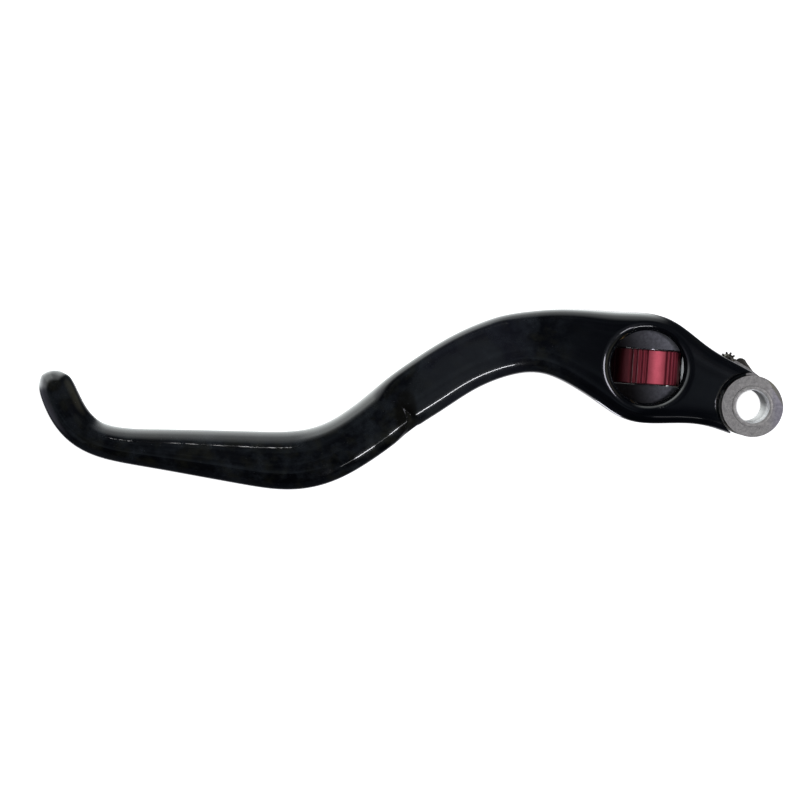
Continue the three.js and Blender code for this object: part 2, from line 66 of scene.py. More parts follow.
MM = 0.001
_low, _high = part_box("pivot_sleeve")
PIVOT = Vector([(a + b) / 2 for a, b in zip(_low, _high)])  # centre of the bore, metres

# ------------------------------------------------------------------ driving dimensions, mm
WHEEL_CENTRE = (-25.9, 9.75)
TILT = math.radians(4)      # the wheel's axis leans this far from Y, clockwise from above
SWING = 2.16                # degrees the knuckle turns either way inside the blade
SCREW = (-4.88, 11.35)      # cam plate screw
BARREL = (-15.95, 0.4)      # pushrod barrel

# X' and Y' are the wheel's own axes; it turns about Y'
WHEEL_FRAME = (Matrix.Translation((*WHEEL_CENTRE, 0)) @ Matrix.Rotation(-TILT, 4, "Z"))
WHEEL_HALF = 4.28           # half the wheel's length along Y'
DETENT_X = 6.0              # X' of the click ball, its spring and grub screw
RETURN_X = -6.0             # X' of the return spring and its seat
KEY_PIN = (2.85, 7.2)       # X', Y' of the key pin
BALL_RADIUS = 1.25

EYE_HALF = 2.2              # half height of the blade's own eye
EYE_BORE = 6.03
EAR_GAP = 2.5               # half the gap between the knuckle's ears
EAR_TOP, EAR_BOTTOM = 7.15, -5.9
CAM_BOTTOM, CAM_TOP = -7.15, -5.95

LIP_RADIUS = 11.5           # outer edge of the rounded lip round the window
LIP_ROUND = 2.2             # radius of the lip's section
LIP_STEEP = math.radians(56)
BOSS_HALF = 8.2             # half height of the blade at the window

# Blade stations from tip to pivot:
# x, y of the +Y edge; x, y of the -Y edge; half height; power of the superellipse
SECTIONS = np.array([
    [-173.70, 9.02, -176.50, 8.07, 1.62, 2.0],
    [-172.65, 8.90, -176.98, 7.47, 2.50, 2.0],
    [-171.45, 8.47, -177.38, 5.97, 3.50, 2.05],
    [-170.05, 7.55, -177.38, 4.15, 4.40, 2.1],
    [-169.03, 6.27, -177.10, 2.57, 4.82, 2.1],
    [-168.29, 4.90, -176.68, 1.09, 5.0, 2.15],
    [-167.23, 2.33, -175.37, -2.02, 5.1, 2.2],
    [-166.10, 0.04, -173.59, -5.14, 5.2, 2.2],
    [-164.79, -1.86, -171.14, -8.06, 5.25, 2.2],
    [-163.17, -3.38, -168.06, -10.48, 5.3, 2.2],
    [-161.16, -4.50, -164.60, -12.23, 5.35, 2.2],
    [-158.76, -5.25, -161.03, -13.39, 5.4, 2.2],
    [-156.04, -5.67, -157.54, -14.16, 5.45, 2.2],
    [-149.96, -5.91, -150.91, -15.33, 5.5, 2.2],
    [-143.51, -6.01, -144.54, -16.43, 5.6, 2.25],
    [-137.02, -6.16, -138.19, -17.60, 5.7, 2.25],
    [-130.54, -6.32, -131.83, -18.75, 5.8, 2.25],
    [-124.13, -6.50, -125.45, -19.90, 5.9, 2.3],
    [-118.15, -6.64, -118.67, -20.92, 6.0, 2.3],
    [-115.47, -6.60, -114.97, -21.12, 6.05, 2.3],
    [-111.81, -6.25, -109.10, -20.57, 6.1, 2.3],
    [-108.39, -5.38, -103.33, -18.84, 6.2, 2.3],
    [-104.96, -3.81, -98.15, -16.23, 6.3, 2.35],
    [-101.43, -1.57, -93.57, -13.31, 6.4, 2.4],
    [-97.83, 1.02, -89.35, -10.31, 6.5, 2.4],
    [-94.17, 3.76, -85.40, -7.16, 6.6, 2.45],
    [-90.25, 6.82, -81.65, -4.37, 6.7, 2.5],
    [-85.96, 9.95, -77.93, -2.09, 6.8, 2.55],
    [-81.93, 12.72, -73.90, 0.59, 6.9, 2.6],
    [-77.68, 15.44, -69.99, 3.17, 7.0, 2.65],
    [-72.62, 18.25, -66.63, 5.01, 7.1, 2.7],
    [-67.53, 20.52, -62.90, 6.57, 7.2, 2.8],
    [-62.46, 22.21, -58.89, 7.82, 7.35, 2.9],
    [-57.01, 23.49, -55.15, 8.41, 7.5, 3.0],
    [-51.31, 24.23, -51.72, 8.21, 7.7, 3.2],
    [-45.60, 24.36, -48.40, 7.13, 7.9, 3.5],
    [-40.17, 24.05, -44.93, 5.36, 8.05, 3.9],
    [-35.04, 23.64, -41.19, 3.10, 8.15, 4.3],
    [-29.91, 23.42, -37.35, 0.53, 8.2, 4.6],
    [-24.91, 23.19, -33.39, -2.38, 8.2, 4.8],
    [-21.85, 22.57, -30.42, -3.77, 8.2, 5.0],
    [-18.95, 21.30, -27.26, -4.34, 8.2, 5.0],
    [-16.21, 19.39, -24.02, -4.42, 8.2, 5.0],
    [-13.60, 17.21, -20.72, -4.31, 8.15, 5.0],
    [-11.02, 15.07, -17.42, -4.24, 8.1, 5.0],
    [-8.90, 13.55, -14.90, -4.28, 8.05, 5.0],
    [-6.30, 12.12, -12.00, -4.62, 8.0, 5.0],
    [-3.70, 10.77, -9.30, -5.35, 7.95, 5.0],
    [-1.20, 9.50, -7.00, -6.15, 7.9, 5.0],
    [1.20, 8.10, -5.00, -6.95, 7.85, 5.0],
    [3.40, 6.70, -3.00, -7.60, 7.8, 5.0],
])
TIP_START = (-175.15, 8.80)     # the sections' line begins here with no width
TIP_POINT = (-175.16, 8.83, 0)  # vertex that closes the tip
BLADE_AROUND = 208              # vertices in each ring of the blade

# The breakaway notch: the tip half ends in a round nose, the pivot half's heel starts behind it.
# Points are x, y.
NOSE = np.array([
    (-101.0, -1.6), (-97.5, 0.35), (-94.52, 1.40), (-92.05, 1.95), (-90.32, 1.90),
    (-87.97, 0.89), (-86.36, -1.12), (-85.30, -3.02), (-85.69, -4.88), (-87.45, -7.85),
    (-89.2, -10.9),
])
HEEL = np.array([
    (-90.6, 12.5), (-90.4, 8.5), (-90.2, 5.2), (-89.6, 3.2), (-88.2, 2.0),
    (-86.4, 0.6), (-84.4, -1.0), (-82.9, -2.6), (-81.8, -4.6), (-80.8, -8.0),
])


# ------------------------------------------------------------------ curves
def spline(knots, values, at):
    """Natural cubic spline through (knots, values), read at the given places."""
    n = len(knots)
    h = np.diff(knots)
    matrix = np.zeros((n, n))
    right = np.zeros(n)
    matrix[0, 0] = matrix[-1, -1] = 1
    for i in range(1, n - 1):
        matrix[i, i - 1 : i + 2] = h[i - 1], 2 * (h[i - 1] + h[i]), h[i]
        right[i] = 6 * ((values[i + 1] - values[i]) / h[i] - (values[i] - values[i - 1]) / h[i - 1])
    bend = np.linalg.solve(matrix, right)
    k = np.clip(np.searchsorted(knots, at) - 1, 0, n - 2)
    t = at - knots[k]
    slope = (values[k + 1] - values[k]) / h[k] - h[k] * (2 * bend[k] + bend[k + 1]) / 6
    return (
        values[k]
        + t * slope
        + t * t * bend[k] / 2
        + t**3 * (bend[k + 1] - bend[k]) / (6 * h[k])
    )


def gauss(values, step, sigma):
    """Gaussian smoothing of evenly spaced samples, with reflected ends kept fixed."""
    reach = int(4 * sigma / step)
    kernel = np.exp(-0.5 * (np.arange(-reach, reach + 1) * step / sigma) ** 2)
    kernel /= kernel.sum()
    before = 2 * values[0] - values[1 : reach + 1][::-1]
    after = 2 * values[-1] - values[-reach - 1 : -1][::-1]
    return np.convolve(np.r_[before, values, after], kernel, "valid")


def smoothstep(start, end, x):
    t = np.clip((x - start) / (end - start), 0, 1)
    return t * t * (3 - 2 * t)


# ------------------------------------------------------------------ outlines in XY
def hull(points):
    """Convex hull, counter-clockwise."""
    def half(ordered):
        chain = []
        for x, y in ordered:
            while len(chain) > 1:
                (ax, ay), (bx, by) = chain[-2:]
                if (bx - ax) * (y - ay) - (by - ay) * (x - ax) > 0:
                    break
                chain.pop()
            chain.append((x, y))
        return chain[:-1]

    ordered = sorted(map(tuple, points))
    return half(ordered) + half(ordered[::-1])


def arc(cx, cy, radius, start, end, steps):
    """Points on an arc; angles in degrees."""
    angles = [math.radians(start + (end - start) * k / steps) for k in range(steps + 1)]
    return [(cx + radius * math.cos(a), cy + radius * math.sin(a)) for a in angles]


def circle(cx, cy, radius, count):
    return arc(cx, cy, radius, 0, 360, count)[:-1]


def turned(points, degrees):
    c, s = math.cos(math.radians(degrees)), math.sin(math.radians(degrees))
    return [(c * x - s * y, s * x + c * y) for x, y in points]


def swept(points):
    """Room for an outline as it swings about the pivot, with a little to spare."""
    return hull([q for d in (-SWING * 1.06, 0, SWING * 1.06) for q in turned(points, d)])


def block_outline(radius, half_length, count):
    """The knuckle's block round the wheel: a disc with flats across Y'."""
    c, s = math.cos(-TILT), math.sin(-TILT)
    flat = [(x, max(-half_length, min(half_length, y))) for x, y in circle(0, 0, radius, count)]
    wx, wy = WHEEL_CENTRE
    return [(wx + c * x - s * y, wy + s * x + c * y) for x, y in flat]


def rectangle(x0, x1, y0, y1):
    return [(x0, y0), (x1, y0), (x1, y1), (x0, y1)]


def rounded(profile, radius, steps=4):
    """Rounds every corner of a closed (radius, height) profile that is off the axis."""
    points = [np.array(p, float) for p in profile]
    out = []
    for i, b in enumerate(points):
        if b[0] < 1e-6:
            out.append(tuple(b))
            continue
        u, v = points[i - 1] - b, points[(i + 1) % len(points)] - b
        lu, lv = np.linalg.norm(u), np.linalg.norm(v)
        d = min(radius, lu * 0.45, lv * 0.45)
        p, q = b + u / lu * d, b + v / lv * d
        for k in range(steps + 1):
            t = k / steps
            out.append(tuple((1 - t) ** 2 * p + 2 * t * (1 - t) * b + t * t * q))
    return out


def mirrored(profile):
    """Adds the same profile below z = 0."""
    return profile + [(r, -z) for r, z in profile[::-1]]


# ------------------------------------------------------------------ meshes
def make(name, verts, faces, smooth=True):
    mesh = bpy.data.meshes.new(name)
    mesh.from_pydata([tuple(v) for v in np.asarray(verts) * MM], [], faces)
    mesh.validate()
    if smooth:
        mesh.polygons.foreach_set("use_smooth", [True] * len(mesh.polygons))
    o = bpy.data.objects.new(name, mesh)
    bpy.context.scene.collection.objects.link(o)
    face_outwards(o)
    return o


def face_outwards(o):
    bm = bmesh.new()
    bm.from_mesh(o.data)
    bmesh.ops.recalc_face_normals(bm, faces=bm.faces)
    if bm.calc_volume(signed=True) < 0:
        bmesh.ops.reverse_faces(bm, faces=bm.faces)
    bm.to_mesh(o.data)
    bm.free()


def place(o, matrix):
    """Moves the mesh by a matrix in millimetres; the object's origin stays at zero."""
    m = matrix.copy()
    m.translation = m.translation * MM
    o.data.transform(m)
    return o


def on_wheel(o, x=0, y=0):
    """Puts a piece in the wheel's frame, at X', Y'."""
    return place(o, WHEEL_FRAME @ Matrix.Translation((x, y, 0)))


def along_wheel(o, x=0):
    """Lays a piece turned about Z along Y' instead, at X'."""
    upright = Matrix.Rotation(-math.pi / 2, 4, "X")
    return place(o, WHEEL_FRAME @ Matrix.Translation((x, 0, 0)) @ upright)


def lathe(name, profile, seg=128):
    """Turns (radius, height) pairs about Z. A radius of 0 is a pole."""
    verts, rings = [], []
    for r, z in profile:
        if r < 1e-6:
            rings.append([len(verts)])
            verts.append((0, 0, z))
        else:
            rings.append(list(range(len(verts), len(verts) + seg)))
            for k in range(seg):
                a = 2 * math.pi * k / seg
                verts.append((r * math.cos(a), r * math.sin(a), z))
    pairs = list(zip(rings, rings[1:]))
    if len(rings[0]) > 1 and len(rings[-1]) > 1:
        pairs.append((rings[-1], rings[0]))
    faces = []
    for a, b in pairs:
        for k in range(seg):
            k2 = (k + 1) % seg
            if len(a) == 1:
                faces.append((a[0], b[k2], b[k]))
            elif len(b) == 1:
                faces.append((a[k], a[k2], b[0]))
            else:
                faces.append((a[k], a[k2], b[k2], b[k]))
    return make(name, verts, faces)


def cyl(name, radius, z0, z1, x=0, y=0, seg=96):
    o = lathe(name, rectangle(0, radius, z0, z1), seg)
    return place(o, Matrix.Translation((x, y, 0)))


def soft_ring(name, inner, outer, z0, z1, corner, seg=128, steps=4):
    """A ring, or a disc when inner is 0, with rounded edges."""
    return lathe(name, rounded(rectangle(inner, outer, z0, z1), corner, steps), seg)


def prism(name, points, z0, z1):
    n = len(points)
    verts = [(p[0], p[1], z0) for p in points] + [(p[0], p[1], z1) for p in points]
    faces = [tuple(range(n))[::-1], tuple(range(n, 2 * n))]
    faces += [(k, (k + 1) % n, n + (k + 1) % n, n + k) for k in range(n)]
    return make(name, verts, faces, smooth=False)


def skin(rows, around, flip=False, wrap=False, caps=False):
    """Quads between rings of vertices. Wrap joins the last ring to the first."""
    index = np.arange(rows * around).reshape(rows, around)
    faces = []
    for i in range(rows if wrap else rows - 1):
        p, q = index[i], index[(i + 1) % rows]
        p2, q2 = np.roll(p, -1), np.roll(q, -1)
        corners = (p, q, q2, p2) if flip else (p, p2, q2, q)
        faces += list(zip(*(c.tolist() for c in corners)))
    if caps:
        faces.append(tuple(index[0].tolist()))
        faces.append(tuple(index[-1].tolist()[::-1]))
    return faces


def apply(o):
    """Bakes an object's modifiers into its mesh."""
    bpy.context.view_layer.update()
    depsgraph = bpy.context.evaluated_depsgraph_get()
    mesh = bpy.data.meshes.new_from_object(o.evaluated_get(depsgraph), depsgraph=depsgraph)
    o.modifiers.clear()
    old = o.data
    o.data = mesh
    bpy.data.meshes.remove(old)
    return o


def boolean(o, tools, operation):
    for tool in tools:
        m = o.modifiers.new("b", "BOOLEAN")
        m.operation, m.object, m.solver = operation, tool, "EXACT"
        apply(o)
        bpy.data.objects.remove(tool)


def cut(o, *tools):
    boolean(o, tools, "DIFFERENCE")


def join(o, *tools):
    boolean(o, tools, "UNION")


def tidy(o):
    """Merges coincident vertices and drops loose ones."""
    nearest = 1e-6
    bm = bmesh.new()
    bm.from_mesh(o.data)
    bmesh.ops.remove_doubles(bm, verts=bm.verts, dist=nearest)
    bmesh.ops.dissolve_degenerate(bm, edges=bm.edges, dist=nearest)
    loose = [v for v in bm.verts if not v.link_faces]
    bmesh.ops.delete(bm, geom=loose, context="VERTS")
    bm.to_mesh(o.data)
    bm.free()


def shade(o, angle):
    """Smooth shading, with edges sharper than angle kept crisp."""
    bm = bmesh.new()
    bm.from_mesh(o.data)
    for f in bm.faces:
        f.smooth = True
    limit = math.radians(angle)
    for e in bm.edges:
        e.smooth = not (len(e.link_faces) == 2 and e.calc_face_angle(0) > limit)
    bm.to_mesh(o.data)
    bm.free()
    return o


def weigh(o):
    """Lets the large flat faces keep their true normals beside small bevels."""
    m = o.modifiers.new("wn", "WEIGHTED_NORMAL")
    m.mode, m.weight, m.keep_sharp = "FACE_AREA", 90, True
    return apply(o)


def bevel(o, width, segments, angle):
    m = o.modifiers.new("bev", "BEVEL")
    m.width, m.segments = width * MM, segments
    m.limit_method, m.angle_limit = "ANGLE", math.radians(angle)
    apply(o)


def finish_piece(o, node, material):
    """Moves a piece to the frame, paints it, hangs it on its node's body and hides the CAD node's
    own mesh.
    """
    o.data.transform(Matrix.Translation(PIVOT))
    o.data.materials.clear()
    o.data.materials.append(material)
    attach(o, BODY_OF[node])
    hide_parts(node)


# ------------------------------------------------------------------ node helpers
class Nodes:
    """A node tree with short names for the nodes used here."""

    def __init__(self, owner, output, coordinate):
        owner.use_nodes = True
        self.tree = owner.node_tree
        self.tree.nodes.clear()
        self.out = self.add(output)
        self.pos = self.add("ShaderNodeTexCoord").outputs[coordinate]

    def add(self, kind, **attributes):
        node = self.tree.nodes.new(kind)
        for name, value in attributes.items():
            setattr(node, name, value)
        return node

    def plug(self, value, socket):
        """Sets a number or a colour, or links another node's output."""
        if isinstance(value, (int, float)):
            socket.default_value = value
        elif isinstance(value, tuple):
            socket.default_value = (*value, 1)[: len(socket.default_value)]
        else:
            self.tree.links.new(value, socket)

    def mapping(self, scale, rotation=(0, 0, 0)):
        node = self.add("ShaderNodeMapping")
        node.inputs["Scale"].default_value = scale
        node.inputs["Rotation"].default_value = rotation
        self.plug(self.pos, node.inputs["Vector"])
        return node.outputs[0]

    def noise(self, scale, detail, rough=0.55, vector=None):
        node = self.add("ShaderNodeTexNoise")
        node.inputs["Scale"].default_value = scale
        node.inputs["Detail"].default_value = detail
        node.inputs["Roughness"].default_value = rough
        self.plug(vector or self.pos, node.inputs["Vector"])
        return node.outputs[0]

    def ramp(self, source, low, high):
        """Black at low to white at high."""
        node = self.add("ShaderNodeValToRGB")
        black, white = node.color_ramp.elements
        black.position, white.position = low, high
        self.plug(source, node.inputs[0])
        return node.outputs[0]

    def cloud(self, low, high, **noise):
        return self.ramp(self.noise(**noise), low, high)

    def math(self, operation, a, b=None):
        node = self.add("ShaderNodeMath", operation=operation)
        self.plug(a, node.inputs[0])
        if b is not None:
            self.plug(b, node.inputs[1])
        return node.outputs[0]

    def times(self, a, b):
        return self.math("MULTIPLY", a, b)

    def square_sum(self, a, b):
        return self.math("ADD", self.times(a, a), self.times(b, b))

    def radius(self, a, b):
        return self.math("SQRT", self.square_sum(a, b))

    def span(self, source, low, high):
        """Stretches 0 to 1 over low to high."""
        node = self.add("ShaderNodeMapRange")
        node.inputs["To Min"].default_value = low
        node.inputs["To Max"].default_value = high
        self.plug(source, node.inputs["Value"])
        return node.outputs[0]

    def step(self, source, start, end):
        """Smooth step: 0 at start, 1 at end."""
        node = self.add("ShaderNodeMapRange", interpolation_type="SMOOTHSTEP")
        node.inputs["From Min"].default_value = start
        node.inputs["From Max"].default_value = end
        self.plug(source, node.inputs["Value"])
        return node.outputs[0]

    def mix(self, mask, a, b):
        """Colour a where the mask is 0, b where it is 1."""
        node = self.add("ShaderNodeMix", data_type="RGBA")
        # the colour sockets of a mix node are inputs 6 and 7 and output 2
        for value, index in ((mask, 0), (a, 6), (b, 7)):
            self.plug(value, node.inputs[index])
        return node.outputs[2]

    def tint(self, base, mask, amount, colour):
        return self.mix(self.times(mask, amount), base, colour)


class Material(Nodes):
    def __init__(self, name):
        self.mat = bpy.data.materials.new(name)
        super().__init__(self.mat, "ShaderNodeOutputMaterial", "Object")
        self.bsdf = self.add("ShaderNodeBsdfPrincipled")
        self.plug(self.bsdf.outputs[0], self.out.inputs["Surface"])

    def set(self, **values):
        for name, value in values.items():
            self.plug(value, self.bsdf.inputs[name.replace("_", " ")])

    def bump(self, height, strength, distance):
        """Distance is in millimetres."""
        node = self.add("ShaderNodeBump")
        node.inputs["Strength"].default_value = strength
        node.inputs["Distance"].default_value = distance * MM
        self.plug(height, node.inputs["Height"])
        return node.outputs[0]

    def along_x(self, value):
        """A single number as a coordinate."""
        node = self.add("ShaderNodeCombineXYZ")
        self.plug(value, node.inputs[0])
        return node.outputs[0]

    def part(self, axis, origin=(0, 0), turn=0.0):
        """One coordinate in millimetres, from an XY origin given from the pivot."""
        node = self.add("ShaderNodeMapping")
        offset = self.add("ShaderNodeVectorMath", operation="SUBTRACT")
        x, y = origin
        offset.inputs[1].default_value = (PIVOT.x + x * MM, PIVOT.y + y * MM, PIVOT.z)
        self.plug(self.pos, offset.inputs[0])
        node.inputs["Rotation"].default_value = (0, 0, turn)
        node.inputs["Scale"].default_value = (1000, 1000, 1000)
        self.plug(offset.outputs[0], node.inputs["Vector"])
        axes = self.add("ShaderNodeSeparateXYZ")
        self.plug(node.outputs[0], axes.inputs[0])
        return axes.outputs["XYZ".index(axis)]

    def mottled_grey(self, dark, light, fleck_amount):
        """Speckled metal; returns its colour and the mottling mask."""
        mottling = self.cloud(scale=1250, detail=6, rough=0.72, low=0.38, high=0.62)
        base = self.mix(mottling, dark, light)
        fleck = self.cloud(scale=2600, detail=3, rough=0.6, low=0.60, high=0.72)
        base = self.tint(base, fleck, amount=fleck_amount, colour=(0.66, 0.64, 0.62))
        return base, mottling


# ------------------------------------------------------------------ materials
def blade_black():
    n = Material("blade_black")

    def patches(*ellipses):
        """1 inside any ellipse (x, y, radius in x, radius in y), fading to 0 outside."""
        union = None
        for x, y, radius_x, radius_y in ellipses:
            px, py = n.part("X", (x, y)), n.part("Y", (x, y))
            px, py = n.math("DIVIDE", px, radius_x), n.math("DIVIDE", py, radius_y)
            inside = n.step(n.square_sum(px, py), start=1.25, end=0.55)
            union = inside if union is None else n.math("MAXIMUM", union, inside)
        return union

    groove = patches((-85.6, -1.6, 2.8, 6.0))
    worn = patches(
        (-20.5, -3.4, 12.5, 3.0),
        (-101.2, -14.4, 3.6, 3.6),
        (-91.6, -8.4, 2.3, 3.0),
        (-59.6, 19.6, 5.0, 1.9),
    )
    worn = n.math("MAXIMUM", worn, n.times(groove, 0.9))
    worn = n.times(worn, n.step(n.part("Z"), start=1.0, end=3.0))
    base = n.mix(
        n.cloud(scale=90, detail=3, low=0.35, high=0.7),
        (0.0022, 0.0027, 0.0040),
        (0.0045, 0.0052, 0.0070),
    )

    # painted reflection: clouded teal and olive patches on the grip and the arm, none on the boss,
    # stand in for the room mirrored in the gloss
    clear = n.step(n.part("X"), start=-38.0, end=-56.0)
    painted_reflection_haze = n.cloud(scale=170, detail=4, rough=0.65, low=0.44, high=0.72)
    base = n.tint(base, n.times(painted_reflection_haze, clear), amount=0.85, colour=(0.030, 0.036, 0.041))
    turned_pos = n.mapping(scale=(1, 1, 1), rotation=(0.3, 0.1, 0.7))
    painted_olive_reflection = n.cloud(scale=240, detail=4, rough=0.6, vector=turned_pos, low=0.50, high=0.70)
    base = n.tint(base, n.times(painted_olive_reflection, clear), amount=0.55, colour=(0.024, 0.024, 0.014))
    # painted reflection: the arm between the notch and the boss, and three patches on it, are
    # painted lighter and bluer for the sheen they show
    arm = n.times(
        n.step(n.part("X"), start=-84.0, end=-78.0),
        n.step(n.part("X"), start=-52.0, end=-60.0),
    )
    base = n.tint(base, arm, amount=0.45, colour=(0.022, 0.023, 0.032))
    painted_tint_mask = patches((-80.2, 3.4, 5.2, 5.6), (-73.8, 8.2, 5.4, 5.2), (-66.8, 11.8, 5.6, 4.8))
    base = n.tint(base, painted_tint_mask, amount=0.40, colour=(0.034, 0.039, 0.040))
    # painted reflection: the breakaway groove is tinted a lighter olive for the light its walls
    # reflect
    base = n.tint(base, groove, amount=0.55, colour=(0.0100, 0.0095, 0.0065))

    speck = n.cloud(scale=5200, detail=2, rough=0.4, low=0.72, high=0.80)
    dust = n.cloud(scale=2300, detail=2, rough=0.4, low=0.735, high=0.79)
    base = n.tint(base, speck, amount=0.35, colour=(0.060, 0.064, 0.070))
    base = n.tint(base, n.times(dust, clear), amount=0.5, colour=(0.12, 0.125, 0.13))
    n.set(
        Base_Color=base,
        Roughness=n.span(n.noise(scale=260, detail=5, rough=0.6), low=0.16, high=0.30),
        Metallic=0.0,
        IOR=1.45,
        Coat_Weight=1.0,
        Coat_Roughness=0.03,
        Coat_IOR=1.5,
    )

    # the coat is thin where worn and ends inside the window
    from_wheel = n.radius(n.part("X", WHEEL_CENTRE), n.part("Y", WHEEL_CENTRE))
    shine = n.step(from_wheel, start=9.10, end=9.45)
    shine = n.times(shine, n.math("SUBTRACT", 1.0, n.times(worn, 0.93)))
    n.set(Coat_Weight=shine, Specular_IOR_Level=n.times(shine, 0.25))

    stretched = n.mapping(scale=(0.12, 2.2, 1.0), rotation=(0, 0, 0.35))
    scratch = n.noise(scale=900, detail=2, rough=0.5, vector=stretched)
    relief = n.math("ADD", n.noise(scale=520, detail=2, rough=0.5), n.times(scratch, 0.25))
    orange_peel = n.noise(scale=300, detail=2, rough=0.5)
    n.set(
        Normal=n.bump(relief, strength=0.25, distance=0.012),
        Coat_Normal=n.bump(orange_peel, strength=0.14, distance=0.010),
    )
    return n.mat


def knuckle_grey():
    n = Material("knuckle_grey")
    base, mottling = n.mottled_grey(
        dark=(0.300, 0.290, 0.268), light=(0.520, 0.502, 0.462), fleck_amount=0.65
    )
    pit = n.cloud(scale=3400, detail=2, rough=0.5, low=0.62, high=0.74)
    base = n.tint(base, pit, amount=0.75, colour=(0.095, 0.088, 0.084))

    # turned marks round the eye
    from_pivot = n.along_x(n.radius(n.part("X"), n.part("Y")))
    wave = n.cloud(scale=9, detail=3, rough=0.6, vector=from_pivot, low=0.40, high=0.62)
    base = n.tint(base, wave, amount=0.22, colour=(0.15, 0.145, 0.15))

    # painted shade: the sloping facet on the ear is tinted olive for the different light its slope
    # takes
    facet = n.times(
        n.step(n.part("X", turn=math.radians(-30)), start=6.50, end=6.66),
        n.step(n.part("Z"), start=4.0, end=5.0),
    )
    base = n.tint(base, facet, amount=0.85, colour=(0.42, 0.41, 0.30))

    # painted shade: the +X side of the eye is painted a darker purple for the shading seen on its
    # edge
    painted_tint_mask = n.step(n.part("X"), start=3.5, end=6.5)
    base = n.tint(base, painted_tint_mask, amount=0.45, colour=(0.25, 0.235, 0.33))

    # painted shade: inside the window the block is painted darker, darkest towards -X and lighter
    # towards +X, with its specular cut to match, for the shade of the window and the light from the
    # right
    x, y = n.part("X", WHEEL_CENTRE, TILT), n.part("Y", WHEEL_CENTRE, TILT)
    inside = n.step(n.part("X"), start=-9.5, end=-13.5)
    painted_light_ramp = n.step(n.math("ADD", x, n.times(y, 0.35)), start=-6.5, end=10)
    dark = n.mix(painted_light_ramp, (0.004, 0.003, 0.003), (0.30, 0.305, 0.325))
    dark = n.tint(dark, mottling, amount=0.4, colour=(0.020, 0.019, 0.019))
    painted_shade_dimming = n.times(inside, n.math("SUBTRACT", 1.0, painted_light_ramp))

    stretched = n.mapping(scale=(0.15, 3.0, 1.0), rotation=(0, 0, 0.2))
    brush = n.noise(scale=1500, detail=3, rough=0.6, vector=stretched)
    relief = n.math("ADD", brush, n.noise(scale=4200, detail=3, rough=0.5))
    n.set(
        Base_Color=n.mix(inside, base, dark),
        Specular_IOR_Level=n.math("SUBTRACT", 0.5, n.times(painted_shade_dimming, 0.45)),
        Roughness=n.span(n.noise(scale=1500, detail=4, rough=0.6), low=0.46, high=0.62),
        Metallic=0.45,
        Normal=n.bump(relief, strength=0.35, distance=0.015),
    )
    return n.mat


def wheel_red():
    n = Material("wheel_red")
    base = n.mix(
        n.cloud(scale=420, detail=5, rough=0.6, low=0.3, high=0.7),
        (0.40, 0.052, 0.075),
        (0.52, 0.080, 0.108),
    )
    stretched = n.mapping(scale=(0.3, 5.0, 0.3), rotation=(0, 0, TILT))
    lathe_marks = n.noise(scale=2600, detail=3, rough=0.6, vector=stretched)
    marks = n.ramp(lathe_marks, low=0.35, high=0.7)
    base = n.tint(base, marks, amount=0.30, colour=(0.30, 0.030, 0.05))

    # painted shade: the grip grooves, the -X' side and the end edges are painted darker for the
    # light they miss
    x, y, z = (n.part(axis, WHEEL_CENTRE, TILT) for axis in "XYZ")
    groove = n.step(n.radius(x, z), start=8.61, end=8.45)
    base = n.tint(base, groove, amount=0.88, colour=(0.17, 0.010, 0.022))
    far = n.step(x, start=-1.2, end=-5.4)
    base = n.tint(base, far, amount=0.86, colour=(0.045, 0.002, 0.005))
    rim = n.step(n.math("ABSOLUTE", y), start=3.95, end=4.10)
    base = n.tint(base, rim, amount=0.9, colour=(0.05, 0.004, 0.009))
    n.set(
        Base_Color=base,
        Roughness=n.span(n.noise(scale=1200, detail=4, rough=0.6), low=0.40, high=0.52),
        Metallic=0.55,
        Normal=n.bump(lathe_marks, strength=0.25, distance=0.012),
    )
    return n.mat


def metal(name, colour, rough, turned_grain=True):
    n = Material(name)
    stretched = n.mapping(scale=(0.4, 0.4, 6.0)) if turned_grain else None
    grain = n.noise(scale=2400, detail=4, rough=0.6, vector=stretched)
    dark = tuple(c * 0.72 for c in colour)
    bright = tuple(min(1.0, c * 1.6 + 0.05) for c in colour)
    base = n.mix(n.cloud(scale=500, detail=5, rough=0.6, low=0.3, high=0.75), dark, colour)
    # convex edges are worn bright; pointiness is about 0.5 on flat ground
    pointiness = n.add("ShaderNodeNewGeometry").outputs["Pointiness"]
    wear = n.ramp(pointiness, low=0.54, high=0.64)
    n.set(
        Base_Color=n.tint(base, wear, amount=0.5, colour=bright),
        Roughness=n.span(grain, low=rough - 0.07, high=rough + 0.10),
        Metallic=1.0,
        Normal=n.bump(grain, strength=0.25, distance=0.010),
    )
    return n.mat


def sleeve_steel():
    n = Material("sleeve_steel")
    base, _ = n.mottled_grey(
        dark=(0.310, 0.300, 0.278), light=(0.530, 0.512, 0.472), fleck_amount=0.6
    )
    # painted light: the bore wall is painted near-white at its top, fading to grey lower down, for
    # the light it catches
    bore = n.step(n.radius(n.part("X"), n.part("Y")), start=4.30, end=4.05)
    height = n.step(n.part("Z"), start=1.0, end=5.2)
    painted_bore_light = n.mix(height, (0.30, 0.30, 0.30), (1.0, 1.0, 1.0))
    stretched = n.mapping(scale=(0.4, 0.4, 6.0))
    grain = n.noise(scale=2400, detail=4, rough=0.6, vector=stretched)
    relief = n.math("ADD", grain, n.noise(scale=4200, detail=3, rough=0.5))
    n.set(
        Base_Color=n.mix(bore, base, painted_bore_light),
        Roughness=n.span(n.noise(scale=1500, detail=4, rough=0.6), low=0.42, high=0.60),
        Metallic=0.45,
        Normal=n.bump(relief, strength=0.30, distance=0.012),
    )
    return n.mat


